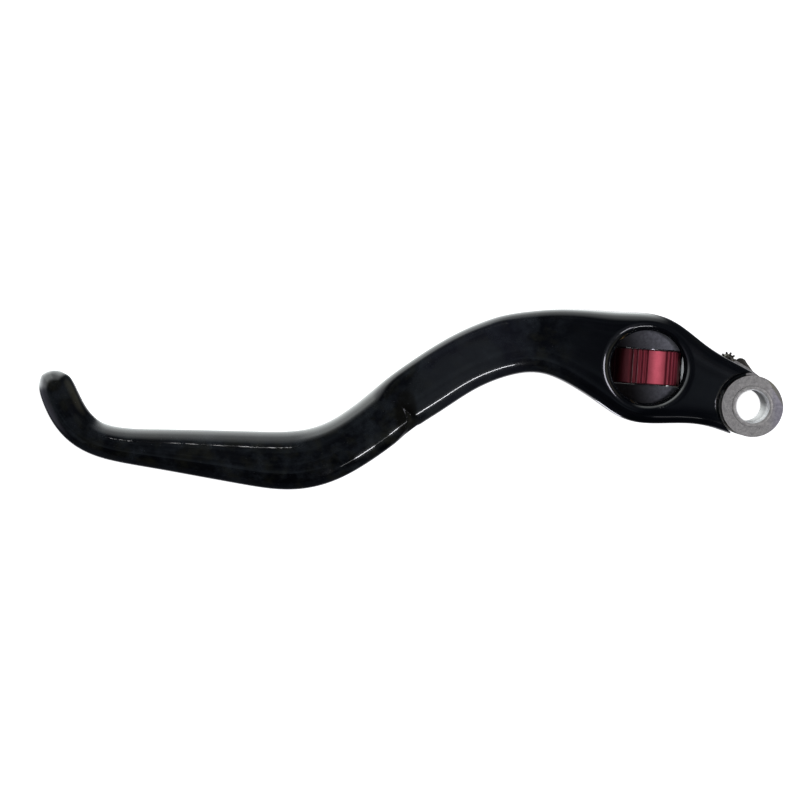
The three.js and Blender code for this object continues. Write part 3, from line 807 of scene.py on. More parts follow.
def black_polymer():
    n = Material("black_polymer")
    colour = (0.02, 0.02, 0.021)
    mottling = n.cloud(scale=900, detail=5, rough=0.6, low=0.3, high=0.7)
    relief = n.noise(scale=4000, detail=3, rough=0.6)
    n.set(
        Base_Color=n.mix(mottling, colour, tuple(c * 1.5 for c in colour)),
        Roughness=n.span(n.noise(scale=1800, detail=3, rough=0.6), low=0.5, high=0.7),
        Normal=n.bump(relief, strength=0.3, distance=0.012),
    )
    return n.mat


BLACK = blade_black()
GREY = knuckle_grey()
RED = wheel_red()
SLEEVE = sleeve_steel()
BRIGHT = metal("bright_steel", colour=(0.56, 0.56, 0.57), rough=0.25)
SPRING = metal("spring_steel", colour=(0.46, 0.46, 0.47), rough=0.28, turned_grain=False)
DARK = metal("black_steel", colour=(0.085, 0.080, 0.066), rough=0.45, turned_grain=False)
BRONZE = metal("bronze", colour=(0.62, 0.40, 0.17), rough=0.30)
POLYMER = black_polymer()


# ------------------------------------------------------------------ blade
def blade_stations():
    """Smoothed sections from the tip to the pivot, one for each ring of vertices."""
    high_x, high_y, low_x, low_y, half_height, power = SECTIONS.T
    middle = np.c_[(high_x + low_x) / 2, (high_y + low_y) / 2]
    middle = np.vstack([TIP_START, middle])
    rib_x, rib_y = (high_x - low_x) / 2, (high_y - low_y) / 2
    angle = np.unwrap(np.arctan2(rib_y, rib_x))
    # each column's values and its smoothing length; sizes are squared to end round at the tip
    columns = {
        "x": (middle[:, 0], 2.4),
        "y": (middle[:, 1], 2.4),
        "width": (np.r_[0, rib_x**2 + rib_y**2], 2.4),
        "height": (np.r_[0, half_height**2], 4.0),
        "angle": (np.r_[angle[0], angle], 3.2),
        "power": (np.r_[2.0, power], 4.0),
    }
    length = np.r_[0, np.cumsum(np.hypot(*np.diff(middle, axis=0).T))]
    step = 0.25
    fine = np.arange(0, length[-1], step)
    past_tip = smoothstep(3.0, 9.0, fine)
    smooth = {}
    for key, (values, sigma) in columns.items():
        raw = spline(length, values, fine)
        smooth[key] = raw * (1 - past_tip) + gauss(raw, step, sigma) * past_tip

    # ring spacing: close together at the tip, the groove and the boss
    x = smooth["x"]
    gap = np.full(len(fine), 0.62)
    gap = np.where(fine < 5, 0.30, gap)
    gap = np.where((x > -98) & (x < -78), 0.20, gap)
    gap = np.where(x > -46, 0.33, gap)
    gap = gauss(gap, step, 1.0)
    rings = np.r_[0, np.cumsum(step / gap[:-1])]
    at = np.interp(np.linspace(0, rings[-1], int(rings[-1])), rings, fine)
    at = np.r_[[0.004, 0.02, 0.06, 0.12, 0.2], at[at > 0.3]]

    stations = {key: np.interp(at, fine, values) for key, values in smooth.items()}
    for key in ("width", "height"):
        straight = np.interp(at, length[:2], columns[key][0][:2])
        squared = np.where(at < length[1], straight, stations[key])
        stations[key] = np.sqrt(np.maximum(squared, 1e-6))
    return stations


def unit_ring(width, height, power, high_power):
    """Superellipse at even arc lengths; high_power holds on the +Y edge's half."""
    angle = np.linspace(0, 2 * math.pi, 1441)
    c, s = np.cos(angle), np.sin(angle)
    power = np.where(c > 0, high_power, power)
    a = np.sign(c) * np.abs(c) ** (2 / power)
    b = np.sign(s) * np.abs(s) ** (2 / power)
    length = np.r_[0, np.cumsum(np.hypot(np.diff(a) * width, np.diff(b) * height))]
    even = np.linspace(0, length[-1], BLADE_AROUND + 1)[:-1]
    return np.interp(even, length, a), np.interp(even, length, b)


def blade_shell(stations):
    """Vertices of the plain blade, ring by ring."""
    verts = []
    for x, y, width, height, angle, power in zip(*stations.values()):
        square = smoothstep(-91.0, -84.0, x) * (1 - smoothstep(-44.0, -34.0, x))
        a, b = unit_ring(width, height, power, power + (4.9 - power) * square)
        # the +Y edge stands out a little along the arm and the grip
        high = width + 0.42 * smoothstep(-95.0, -86.0, x) * (1 - smoothstep(-62.0, -52.0, x))
        high += 0.28 * smoothstep(-168.0, -156.0, x) * (1 - smoothstep(-108.0, -98.0, x))
        a = np.where(a > 0, a * high / width, a)
        dx, dy = math.cos(angle), math.sin(angle)
        verts.append(np.c_[x + width * a * dx, y + width * a * dy, height * b])
    return np.concatenate(verts)


def signed_distance(line, x, y):
    """Distance to a smoothed polyline, positive on its left-hand side."""
    n = np.arange(len(line))
    fine = np.linspace(0, len(line) - 1, 12 * (len(line) - 1) + 1)
    points = np.c_[spline(n, line[:, 0], fine), spline(n, line[:, 1], fine)]
    best = np.full(x.shape, 1e9)
    out = np.zeros(x.shape)
    for p, q in zip(points[:-1], points[1:]):
        d = q - p
        t = np.clip(((x - p[0]) * d[0] + (y - p[1]) * d[1]) / (d @ d), 0, 1)
        distance = np.hypot(x - (p[0] + t * d[0]), y - (p[1] + t * d[1]))
        near = distance < best
        side = np.sign(d[0] * (y - p[1]) - d[1] * (x - p[0]))
        out = np.where(near, side * distance, out)
        best = np.where(near, distance, best)
    return out


def notch_depth(x, y):
    past_nose = signed_distance(NOSE, x, y)
    before_heel = -signed_distance(HEEL, x, y)
    nose_wall = smoothstep(0.0, 1.5, past_nose)
    heel_wall = smoothstep(-0.2, 1.7, before_heel)
    fade = smoothstep(-100.5, -95.0, x)
    floor_depth = 1.05 + 0.22 * np.clip(past_nose - 1.5, 0, 4)
    return floor_depth * nose_wall * heel_wall * fade


def carve_notch(verts, stations):
    """Sinks the breakaway groove into both broad faces and pinches the -Y edge there."""
    x, y, z = verts.T
    mid_x, mid_y, angle, width = (
        np.repeat(stations[key], BLADE_AROUND) for key in ("x", "y", "angle", "width")
    )
    zone = (x > -101) & (x < -78)
    depth = np.zeros(len(verts))
    depth[zone] = notch_depth(x[zone], y[zone])
    across = ((x - mid_x) * np.cos(angle) + (y - mid_y) * np.sin(angle)) / width
    depth = depth * (1 - smoothstep(0.22, 0.62, across))
    z -= np.sign(z) * depth * np.clip(np.abs(z) / 3.2, 0, 1)
    below = smoothstep(1.0, 6.5, np.hypot(x - mid_x, y - mid_y)) * (y < mid_y)
    pinch = 1 - 0.030 * np.clip(depth / 1.05, 0, 1) * below
    verts[:, 0], verts[:, 1] = mid_x + (x - mid_x) * pinch, mid_y + (y - mid_y) * pinch


def fit_box(verts):
    """Draws the +Y side and the tip half in slightly, to stay inside the CAD's box."""
    x, y = verts[:, 0], verts[:, 1]
    verts[:, 1] = np.where(y > 0, y * 0.9965, y)
    verts[:, 0] = np.where(x < -100, -100 + (x + 100) * 0.9982, x)


def round_lip(verts):
    """Rounds the window's lip on both faces."""
    x, y, z = verts.T
    from_wheel = np.hypot(x - WHEEL_CENTRE[0], y - WHEEL_CENTRE[1])
    run = LIP_ROUND * math.sin(LIP_STEEP)
    inwards = np.clip(LIP_RADIUS - from_wheel, 0, run)
    drop = LIP_ROUND - np.sqrt(LIP_ROUND * LIP_ROUND - inwards * inwards)
    drop = drop + np.clip(LIP_RADIUS - run - from_wheel, 0, 1.2) * math.tan(LIP_STEEP)
    z -= np.where(np.abs(z) > 4.5, np.sign(z) * drop, 0)


def window_cutter():
    run = LIP_RADIUS - LIP_ROUND * math.sin(LIP_STEEP)
    top = BOSS_HALF - (LIP_ROUND - LIP_ROUND * math.cos(LIP_STEEP))
    throat = 9.15
    profile = [
        (0, 14), (run, 14), (run, top), (throat, top - (run - throat) * math.tan(LIP_STEEP)),
        (9.06, 5.85), (9.12, 5.55), (9.38, 5.25), (9.42, 4.6),
    ]
    o = lathe("window", mirrored(profile), 192)
    return place(o, Matrix.Translation((*WHEEL_CENTRE, 0)))


def cut_knuckle_room(o):
    """Clears the blade for the knuckle, its ears and the parts it carries."""
    ear = [
        (0, -14), (11.2, -14), (11.2, -8.9), (9.6, -8.15),
        (9.2, -7.9), (8.75, -7.4), (8.45, -6.8), (8.27, -6.1),
    ]
    neck = [
        (-24, -0.9), (-19, -1.9), (-12, -2.5), (-6, -3.9), (0, -5),
        (0, 4), (-6, 4.2), (-13, 4.9), (-17, 5.3), (-24, 5.3),
    ]
    lug = [
        (-7.6, 11.9), (-5.6, 13.3), (-3.2, 12.2), (2.35, 9.7),
        (7.2, 4.0), (0, 0), (-8.0, 2.5),
    ]
    half = 4.9
    cut(
        o,
        lathe("ear_room", mirrored(ear), 192),
        prism("block_room", swept(block_outline(11.5, 9.9, 96)), -half, half),
        prism("neck_room", swept(neck), -half, half),
        prism("lug_room", swept(lug), -14, -EYE_HALF),
        prism("screw_room", swept(circle(*SCREW, 2.55, 48)), -14, 1.0),
    )
    door = prism("side_door", rectangle(-20.2, -11.9, -12, -0.5), -3.2, 3.2)
    bevel(door, 0.9, 4, 35)
    cut(
        o,
        door,
        prism("barrel_room", swept(circle(*BARREL, 3.3, 64)), -half, half),
        along_wheel(cyl("pad_pocket", 3.1, 9.5, 12.45, seg=64)),
        along_wheel(cyl("seat_pocket", 2.0, -11.75, -9.5, seg=48), RETURN_X),
    )


def blade_eye():
    """The blade's own eye, between the knuckle's ears, with the web that joins it on."""
    web = [
        (-12.6, 6.2), (-8.3, 5.6), (-6.9, 2.2), (-6.15, 1.0), (-4.3, 4.6),
        (-1.2, 6.2), (-0.8, 8.15), (-5.2, 8.1), (-8.6, 9.6), (-11.5, 12.0),
    ]
    eye = soft_ring("eye", EYE_BORE, 7.3, -EYE_HALF, EYE_HALF, corner=0.15)
    join(eye, prism("web", web, -EYE_HALF, EYE_HALF))
    cut(eye, cyl("eye_bore", EYE_BORE, -4, 4, seg=128))
    return eye


def build_blade():
    stations = blade_stations()
    verts = blade_shell(stations)
    carve_notch(verts, stations)
    fit_box(verts)
    round_lip(verts)

    rows = len(stations["x"])
    faces = skin(rows, BLADE_AROUND, flip=True)
    tip = len(verts)
    end = tip + 1
    last_ring = verts[-BLADE_AROUND:]
    end_point = (last_ring[:, 0].mean(), last_ring[:, 1].mean(), 0)
    last = (rows - 1) * BLADE_AROUND
    for k in range(BLADE_AROUND):
        k2 = (k + 1) % BLADE_AROUND
        faces.append((tip, k, k2))
        faces.append((end, last + k2, last + k))
    o = make("blade", np.vstack([verts, TIP_POINT, end_point]), faces)

    cut(o, window_cutter())
    cut_knuckle_room(o)
    join(o, blade_eye())
    horn = [(-5.6, -5.2), (-4.4, -9.5), (0, -9.5), (0, -4.9)]
    cut(o, prism("end_horn", horn, -14, 14))
    tidy(o)
    return shade(o, 32)


finish_piece(build_blade(), "lever_blade", BLACK)


# ------------------------------------------------------------------ pivot stack
def build_sleeve():
    ends = [
        (4.0, 6.95), (4.06, 7.1), (4.2, 7.24), (4.36, 7.3), (4.97, 7.3), (4.99, 7.29), (5.0, 7.27)
    ]
    return shade(lathe("sleeve", [(r, -z) for r, z in ends] + ends[::-1], 160), 40)


finish_piece(build_sleeve(), "pivot_sleeve", SLEEVE)
bush = soft_ring("eye_bush", 5.06, 6.0, -EYE_HALF, EYE_HALF, corner=0.15)
finish_piece(shade(bush, 40), "blade_eye_bush", BRONZE)
for side, z0, z1 in (("upper", 2.25, 2.45), ("lower", -2.45, -2.25)):
    washer = soft_ring("thin_washer_" + side, 5.1, 7.15, z0, z1, corner=0.06, steps=2)
    finish_piece(shade(washer, 40), "thrust_washer_" + side, POLYMER)


# ------------------------------------------------------------------ knuckle
def ear_facet():
    """Takes a slope off the ear's top, falling away towards +X and +Y."""
    o = prism("facet", rectangle(-9, 9, 0, 9), -12, 0)
    slope = (
        Matrix.Rotation(math.radians(-60), 4, "Z")
        @ Matrix.Translation((0, 6.52, EAR_TOP))
        @ Matrix.Rotation(math.radians(-38), 4, "X")
        @ Matrix.Translation((0, 0, 12))
    )
    return place(o, slope)


def build_knuckle():
    half = 4.6
    block = hull(block_outline(11.2, 9.6, 128))
    neck = [
        (-24, -0.6), (-19, -1.6), (-12, -2.2), (-6, -3.6), (0, -5),
        (0, 4), (-6, 3.9), (-13, 4.6), (-17, 5.0), (-24, 5.0),
    ]
    lug = [
        (-6.9, 11.9), (-5.6, 12.6), (-3.2, 11.5), (0.2, 9.5),
        (3.6, 6.9), (5.5, 4.0), (0, 0), (-7.3, 2.5),
    ]
    o = prism("knuckle", block, -half, half)
    join(
        o,
        prism("neck", neck, -half, half),
        cyl("ears", 7.6, EAR_BOTTOM, EAR_TOP, seg=160),
        prism("lug", lug, EAR_BOTTOM, -EAR_GAP),
        cyl("screw_boss", 1.55, EAR_BOTTOM, -EAR_GAP, *SCREW, 48),
    )

    # the gap between the ears, and its opening towards the blade's web
    web_room = prism("web_room", rectangle(-13.9, 9, 4.9, 20), -EAR_GAP, EAR_GAP)
    cut(web_room, prism("kept_block", block, -3, 3))
    cut(o, cyl("eye_room", 7.65, -EAR_GAP, EAR_GAP, seg=160), web_room, ear_facet())

    # wheel slot, wider above than below
    for half_slot, z0, z1 in ((4.55, 1.2, 7), (4.31, -7, 3)):
        outline = rectangle(-9.3, 9.65, -half_slot, half_slot)
        cut(o, on_wheel(prism("wheel_slot", outline, z0, z1)))
    cut(
        o,
        along_wheel(cyl("washer_recess", 5.35, 0, 4.55)),
        along_wheel(cyl("stud_bore", 2.58, -14, 14)),
        on_wheel(cyl("key_bore", 0.8, -12, 3.2, seg=40), *KEY_PIN),
        along_wheel(cyl("detent_bore", 1.3, -14, -4, seg=64), DETENT_X),
        along_wheel(cyl("return_bore", 1.9, -14, -5.6, seg=64), RETURN_X),
        cyl("barrel_bore", 3.05, -8, 8, *BARREL),
        cyl("screw_bore", 0.86, -9, 0, *SCREW, 40),
    )
    tidy(o)
    bevel(o, 0.10, 2, 34)
    # the pivot bore comes after the bevel, so its edges stay sharp
    cut(o, cyl("pivot_bore", 5.05, -12, 12, seg=160))
    tidy(o)
    shade(o, 40)
    return weigh(o)


knuckle = build_knuckle()
finish_piece(knuckle, "adjuster_carrier", GREY)


# ------------------------------------------------------------------ thumb wheel
def grip_cut(angle):
    """Depth of the grip round the wheel: four scallops in every 60 degrees."""
    scallop_half, scallop_depth, land_depth = 3.15, 0.62, 0.10
    within = (angle - 2.5) % 60.0
    scallop = np.zeros(len(angle))
    for k in range(4):
        d = np.abs(within - (28.5 + 8.5 * k))
        d = np.minimum(d, 60 - d)
        scallop = np.maximum(scallop, np.clip(1 - (d / scallop_half) ** 2, 0, 1) ** 0.8)
    land = (within > 27) & (within < 55.5)
    return scallop_depth * scallop + np.where(land, land_depth, 0.0) * (1 - scallop)


def wheel_profile(radius, half, edge):
    """(radius, Y', share of the grip cut) from the -Y' bore, over the rim, to the middle."""
    rim = radius - edge
    corner = []
    for k in range(1, 7):
        f = math.pi / 2 * k / 6
        y = half - edge + edge * math.cos(f)
        corner.append((rim + edge * math.sin(f), y, 0.15 + 0.85 * k / 6))
    bore_edge = [(2.58, half - 0.5, 0), (2.62, half - 0.2, 0), (3.0, half, 0)]
    profile = [(r, -y, share) for r, y, share in bore_edge] + [(3.9, -half, 0)]
    profile += [(r, -half, 0) for r in np.arange(4.2, 7.61, 0.12)]
    profile += [(7.95, -half, 0.0), (rim, -half, 0.15)]
    profile += [(r, -y, share) for r, y, share in corner]
    profile += [(radius, y, 1) for y in np.linspace(-half + edge + 0.3, half - edge - 0.3, 14)]
    profile += corner[::-1]
    profile += [(rim, half, 0.15), (7.9, half, 0), (5.0, half, 0)]
    return profile + bore_edge[::-1] + [(2.58, 0, 0)]


def build_wheel():
    around = 1080
    degrees = np.linspace(0, 360, around, endpoint=False)  # from +Z towards +X'
    grip = grip_cut(degrees)
    s, c = np.sin(np.radians(degrees)), np.cos(np.radians(degrees))
    profile = wheel_profile(radius=8.735, half=WHEEL_HALF, edge=0.22)
    verts = []
    for r, y, share in profile:
        ys = np.full(around, y)
        if y == -WHEEL_HALF and 4.0 < r < 7.9:
            # six dimples for the click ball in the -Y' face
            for k in range(6):
                a = math.radians(90 + 60 * k)
                off_x = r * s - DETENT_X * math.sin(a)
                off_z = r * c - DETENT_X * math.cos(a)
                squared = off_x**2 + off_z**2
                dimple = np.sqrt(np.maximum(BALL_RADIUS**2 - squared, 0)) - 0.75
                ys = np.maximum(ys, -WHEEL_HALF + np.clip(dimple, 0, None))
        rs = r - grip * share
        verts.append(np.c_[rs * s, ys, rs * c])
    faces = skin(len(profile), around, wrap=True)
    o = make("wheel", np.concatenate(verts), faces)
    return shade(on_wheel(o), 38)


wheel = build_wheel()
finish_piece(wheel, "adjuster_wheel", RED)
wheel.visible_glossy = False
knuckle.visible_glossy = False


# ------------------------------------------------------------------ stud, pad, pins, ball
def stud_radius(y):
    """Radius at Y', before the thread: a plain bar with a stepped +Y' end."""
    if y <= -8.25:
        return 2.1
    if y < 9.45:
        return 2.5
    if y < 10.15:
        return 2.5 - 0.6 * (y - 9.45) / 0.7
    if y < 10.9:
        return 1.9
    return 1.55 if y < 11.0 else 0.7


def build_stud():
    """Coarse three-start thread on the length the wheel runs on, plain ends."""
    around, lead, starts, thread_depth = 96, 3.0, 3, 0.42
    thread_start, thread_end = -8.0, 5.0
    ys = np.r_[
        -8.3, -8.1, np.arange(-7.9, thread_end, 0.12), 5.05, 5.2, np.linspace(5.5, 9.3, 8),
        9.45, 9.9, 10.15, 10.3, 10.6, 10.85, 10.97, 11.05,
    ]
    a = np.linspace(0, 2 * math.pi, around, endpoint=False)
    rows = []
    for y in ys:
        r = np.full(around, stud_radius(y))
        if thread_start < y < thread_end:
            fade = min(1, (y - thread_start) / 0.5, (thread_end - y) / 0.5)
            phase = (starts * (a / (2 * math.pi)) - y / lead * starts) % 1.0
            r = r - thread_depth * fade * np.clip(1 - np.abs(phase - 0.5) / 0.36, 0, 1)
        ring = np.c_[r * np.sin(a), np.full(around, y), r * np.cos(a)]
        if 5.2 <= y <= 9.9:
            # flat that bears on the key pin
            ring[:, 0] = np.minimum(ring[:, 0], 1.95)
        rows.append(ring)
    o = make("stud", np.concatenate(rows), skin(len(ys), around, caps=True))
    return shade(on_wheel(o), 35)


finish_piece(build_stud(), "adjuster_stud", BRIGHT)
pad = along_wheel(soft_ring("contact_pad", 0, 3.0, 11.1, 12.4, corner=0.25, seg=96))
finish_piece(shade(pad, 40), "stud_contact_pad", BRIGHT)
washer = along_wheel(soft_ring("wheel_washer", 2.75, 5.2, 4.335, 4.495, corner=0.05, steps=2))
finish_piece(shade(washer, 40), "wheel_thrust_washer", BRIGHT)
pin = on_wheel(soft_ring("key_pin", 0, 0.75, -4.5, 2.9, corner=0.2, seg=48), *KEY_PIN)
finish_piece(shade(pin, 40), "stud_key_pin", BRIGHT)


def build_ball():
    angles = [math.pi * k / 24 for k in range(1, 24)]
    profile = [(BALL_RADIUS * math.sin(a), -BALL_RADIUS * math.cos(a)) for a in angles]
    o = lathe("click_ball_piece", [(0, -BALL_RADIUS)] + profile + [(0, BALL_RADIUS)], 48)
    gap = 0.05
    return on_wheel(o, DETENT_X, -WHEEL_HALF - gap - BALL_RADIUS)


finish_piece(build_ball(), "detent_ball", BRIGHT)
seat = soft_ring("spring_seat", 0, 1.9, -11.7, -11.3, corner=0.12, seg=64, steps=3)
finish_piece(shade(along_wheel(seat, RETURN_X), 40), "return_spring_seat", BRIGHT)


def build_grub():
    o = soft_ring("grub_screw", 0, 1.25, -9.25, -8.0, corner=0.12, seg=64, steps=3)
    cut(o, prism("grub_socket", circle(0, 0, 0.72, 6), -9.6, -8.35))
    return shade(along_wheel(o, DETENT_X), 35)


finish_piece(build_grub(), "detent_grub_screw", DARK)


def coil(name, radius, wire, turns, y0, y1, x, dead):
    """Compression spring along Y' with closed ends of `dead` turns; wire is a radius."""
    per_turn, sides = 36, 12
    n = int(turns * per_turn)
    t = np.linspace(0, turns, n + 1)
    share = np.clip((t - dead) / (turns - 2 * dead), 0, 1)
    low, high = y0 + wire, y1 - wire
    closed_pitch = 2 * wire * 1.03
    span = (high - low) - 2 * dead * closed_pitch
    end_rise = np.clip(t - (turns - dead), 0, dead) * closed_pitch
    y = low + np.minimum(t, dead) * closed_pitch + share * span + end_rise
    a = 2 * math.pi * t
    centre = np.c_[radius * np.cos(a), y, radius * np.sin(a)]
    tangent = np.gradient(centre, axis=0)
    tangent /= np.linalg.norm(tangent, axis=1)[:, None]
    out = np.c_[np.cos(a), np.zeros(n + 1), np.sin(a)]
    out -= (out * tangent).sum(1)[:, None] * tangent
    out /= np.linalg.norm(out, axis=1)[:, None]
    side = np.cross(tangent, out)
    f = np.linspace(0, 2 * math.pi, sides, endpoint=False)
    c, s = np.cos(f)[:, None], np.sin(f)[:, None]
    verts = np.concatenate([m + wire * (c * u + s * v) for m, u, v in zip(centre, out, side)])
    o = make(name, verts, skin(n + 1, sides, caps=True))
    return shade(on_wheel(o, x), 50)


detent_spring = coil(
    "click_spring", radius=0.85, wire=0.14, turns=3, y0=-7.95, y1=-6.64, x=DETENT_X, dead=0.5
)
finish_piece(detent_spring, "detent_spring", SPRING)

# the return spring stretches between the knuckle and the blade
return_spring = coil(
    "push_spring", radius=1.4, wire=0.25, turns=5, y0=-11.2, y1=-5.7, x=RETURN_X, dead=0.75
)
return_spring.data.materials.append(SPRING)
return_spring.data.transform(Matrix.Translation(PIVOT))
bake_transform(return_spring)
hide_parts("return_spring")


# ------------------------------------------------------------------ barrel, cam plate, screw
def build_barrel():
    """Upright pin with a round-ended hole for the pushrod from -Y."""
    rod = 2.0
    o = soft_ring("barrel_pin", 0, 3.0, -4.5, 4.5, corner=0.3, seg=96)
    angles = [math.pi / 2 * k / 10 for k in range(1, 11)]
    dome = [(rod * math.sin(a), rod * math.cos(a)) for a in angles]
    tool = lathe("rod_hole", [(0, rod)] + dome + [(rod, -8), (0, -8)], 64)
    cut(o, place(tool, Matrix.Rotation(-math.pi / 2, 4, "X")))
    tidy(o)
    place(o, Matrix.Translation((*BARREL, 0)))
    return shade(o, 35)


finish_piece(build_barrel(), "pushrod_barrel", BRONZE)


def build_cam():
    heights = CAM_BOTTOM, CAM_TOP
    nose = arc(-1.08, 10.29, 1.5, 155, 20, 24) + [(3.2, 6.8), (0, 0), (-5.5, 5.2)]
    shoulder = [(-6.3, 11.0), (-6.9, 3.0), (0, 0), (-2.2, 9.5), (-3.5, 10.9)]
    o = cyl("cam_plate", 7.5, *heights, seg=128)
    join(
        o,
        prism("nose", nose, *heights),
        prism("shoulder", shoulder, *heights),
        cyl("screw_lobe", 1.5, *heights, *SCREW, 48),
    )
    cut(
        o,
        cyl("cam_bore", 5.06, -9, 0, seg=128),
        cyl("cam_screw_bore", 0.84, -9, 0, *SCREW, 48),
    )
    tidy(o)
    bevel(o, 0.10, 2, 40)
    return shade(o, 30)


finish_piece(build_cam(), "switch_cam_plate", DARK)


def build_star():
    teeth, root, crest = 11, 1.55, 2.1
    outline = []
    for k in range(teeth):
        for offset, r in ((-11, root), (-5.5, crest), (5.5, crest), (11, root)):
            a = math.radians(360 / teeth * k + offset)
            outline.append((r * math.cos(a), r * math.sin(a)))
    o = prism("toothed_washer", outline, -2.45, -2.05)
    cut(o, cyl("star_bore", 0.9, -4, 0, seg=48))
    # the teeth are thinned from below
    for v in o.data.vertices:
        r = math.hypot(v.co.x, v.co.y) / MM
        if r > 1.7 and v.co.z / MM < -2.2:
            v.co.z += 0.10 * MM
    bevel(o, 0.05, 1, 40)
    place(o, Matrix.Translation((*SCREW, 0)))
    return shade(o, 30)


finish_piece(build_star(), "tooth_lock_washer", DARK)


def build_screw():
    profile = [
        (0, -7.05), (0.65, -7.05), (0.8, -6.9), (0.8, -2.0), (1.34, -2.0), (1.42, -1.92),
        (1.42, -1.3), (1.36, -1.12), (1.2, -0.96), (1.0, -0.9), (0, -0.9),
    ]
    o = lathe("cam_screw", profile, 64)
    cut(o, prism("screw_socket", circle(0, 0, 0.8, 6), -1.6, 1))
    place(o, Matrix.Translation((*SCREW, 0)))
    return shade(o, 30)


finish_piece(build_screw(), "cam_plate_screw", DARK)

# ------------------------------------------------------------------ studio, metres from the pivot
CAMERA = (-0.08710, 0.01887, 0.600)
VIEW_WIDTH = 0.200      # width seen at the pivot's height
BOSS = (-0.026, 0.010, 0.006)
MIDDLE = (-0.062, 0.010, 0.006)


def card(name, corners):
    """One rectangle with its own material."""
    mesh = bpy.data.meshes.new(name)
    mesh.from_pydata(corners, [], [(0, 1, 2, 3)])
    o = bpy.data.objects.new(name, mesh)
    bpy.context.scene.collection.objects.link(o)
    material = bpy.data.materials.new(name)
    material.use_nodes = True
    mesh.materials.append(material)
    return o, material.node_tree


def build_floor():
    """White ground that glows by itself and sends no light back to the lever."""
    s, z = 6.0, PIVOT.z - 0.0095
    o, tree = card("floor", [(-s, -s, z), (s, -s, z), (s, s, z), (-s, s, z)])
    tree.nodes.clear()
    out = tree.nodes.new("ShaderNodeOutputMaterial")
    diffuse = tree.nodes.new("ShaderNodeBsdfDiffuse")
    diffuse.inputs["Color"].default_value = (0.9, 0.9, 0.9, 1)
    glow = tree.nodes.new("ShaderNodeEmission")
    glow.inputs["Color"].default_value = (1, 1, 1, 1)
    glow.inputs["Strength"].default_value = 0.92
    total = tree.nodes.new("ShaderNodeAddShader")
    tree.links.new(diffuse.outputs[0], total.inputs[0])
    tree.links.new(glow.outputs[0], total.inputs[1])
    tree.links.new(total.outputs[0], out.inputs[0])
    o.visible_glossy = False
    o.visible_diffuse = False


def direction(azimuth, elevation):
    """Unit vector; azimuth from +X towards +Y, in degrees."""
    a, e = math.radians(azimuth), math.radians(elevation)
    return (math.cos(e) * math.cos(a), math.cos(e) * math.sin(a), math.sin(e))


def towards(point, azimuth, elevation, distance):
    a, e = math.radians(azimuth), math.radians(elevation)
    return (
        point[0] + distance * math.cos(e) * math.cos(a),
        point[1] + distance * math.cos(e) * math.sin(a),
        point[2] + distance * math.sin(e),
    )


def area(name, at, target, size, radiance, colour=(1, 1, 1)):
    """A rectangular lamp facing its target. Its width lies level."""
    light = bpy.data.lights.new(name, "AREA")
    light.shape, light.size, light.size_y, light.color = "RECTANGLE", size[0], size[1], colour
    light.energy = radiance * math.pi * size[0] * size[1]
    o = bpy.data.objects.new(name, light)
    at, target = Vector(at) + PIVOT, Vector(target) + PIVOT
    back = (at - target).normalized()
    side = Vector((0, 0, 1)).cross(back)
    side = side.normalized() if side.length > 1e-4 else Vector((1, 0, 0))
    up = back.cross(side)
    axes = Matrix((side, up, back)).transposed().to_4x4()
    o.matrix_world = Matrix.Translation(at) @ axes
    bpy.context.scene.collection.objects.link(o)


def build_lamps():
    area(
        "key_right", towards(BOSS, azimuth=3, elevation=55, distance=0.75), BOSS,
        size=(0.24, 0.20), radiance=11, colour=(0.90, 0.88, 1.0),
    )
    area(
        "strip_front", towards(MIDDLE, azimuth=-72, elevation=29, distance=0.80), MIDDLE,
        size=(0.42, 0.045), radiance=26, colour=(0.95, 0.96, 1.0),
    )
    area(
        "glint_front", towards(BOSS, azimuth=-44, elevation=46, distance=0.70), BOSS,
        size=(0.10, 0.07), radiance=14, colour=(0.92, 0.92, 1.0),
    )
    # close under the boss: the bright line low on its -X, -Y side
    area(
        "under_left", (-0.0385, -0.0105, -0.0185), target=(-0.0345, -0.0025, 0.0),
        size=(0.009, 0.006), radiance=1.9, colour=(0.88, 0.88, 1.0),
    )
    # a broken row of small lamps high on the +Y side, each placed so that the blade's
    # face mirrors it to the camera: x of the glint's two ends, depth of the lamp
    glints = (
        (-0.1398, -0.1378, 0.026),
        (-0.1345, -0.1322, 0.026),
        (-0.1283, -0.1265, 0.026),
        (-0.1228, -0.1200, 0.032),
    )
    spread = 1.5    # how far beyond the glint its lamp lies, as a share of camera to glint
    for k, (x0, x1, depth) in enumerate(glints):
        ends = [x + (x - CAMERA[0]) * spread for x in (x0, x1)]
        area(
            "lamp_%d" % k, (sum(ends) / 2, 0.491, 0.753),
            target=((x0 + x1) / 2, -0.0098, 0.0056),
            size=(abs(ends[1] - ends[0]), depth), radiance=15,
        )


def build_flag():
    """A black upright card on the -Y side, out of the camera's sight."""
    x0, x1, y, z0, z1 = -0.34, -0.012, -0.25, 0.03, 0.34
    corners = [(x0, y, z0), (x1, y, z0), (x1, y, z1), (x0, y, z1)]
    o, tree = card("flag", [tuple(Vector(p) + PIVOT) for p in corners])
    inputs = tree.nodes["Principled BSDF"].inputs
    inputs["Base Color"].default_value = (0.004, 0.004, 0.005, 1)
    inputs["Roughness"].default_value = 1.0
    inputs["Specular IOR Level"].default_value = 0.0
    o.visible_camera = False


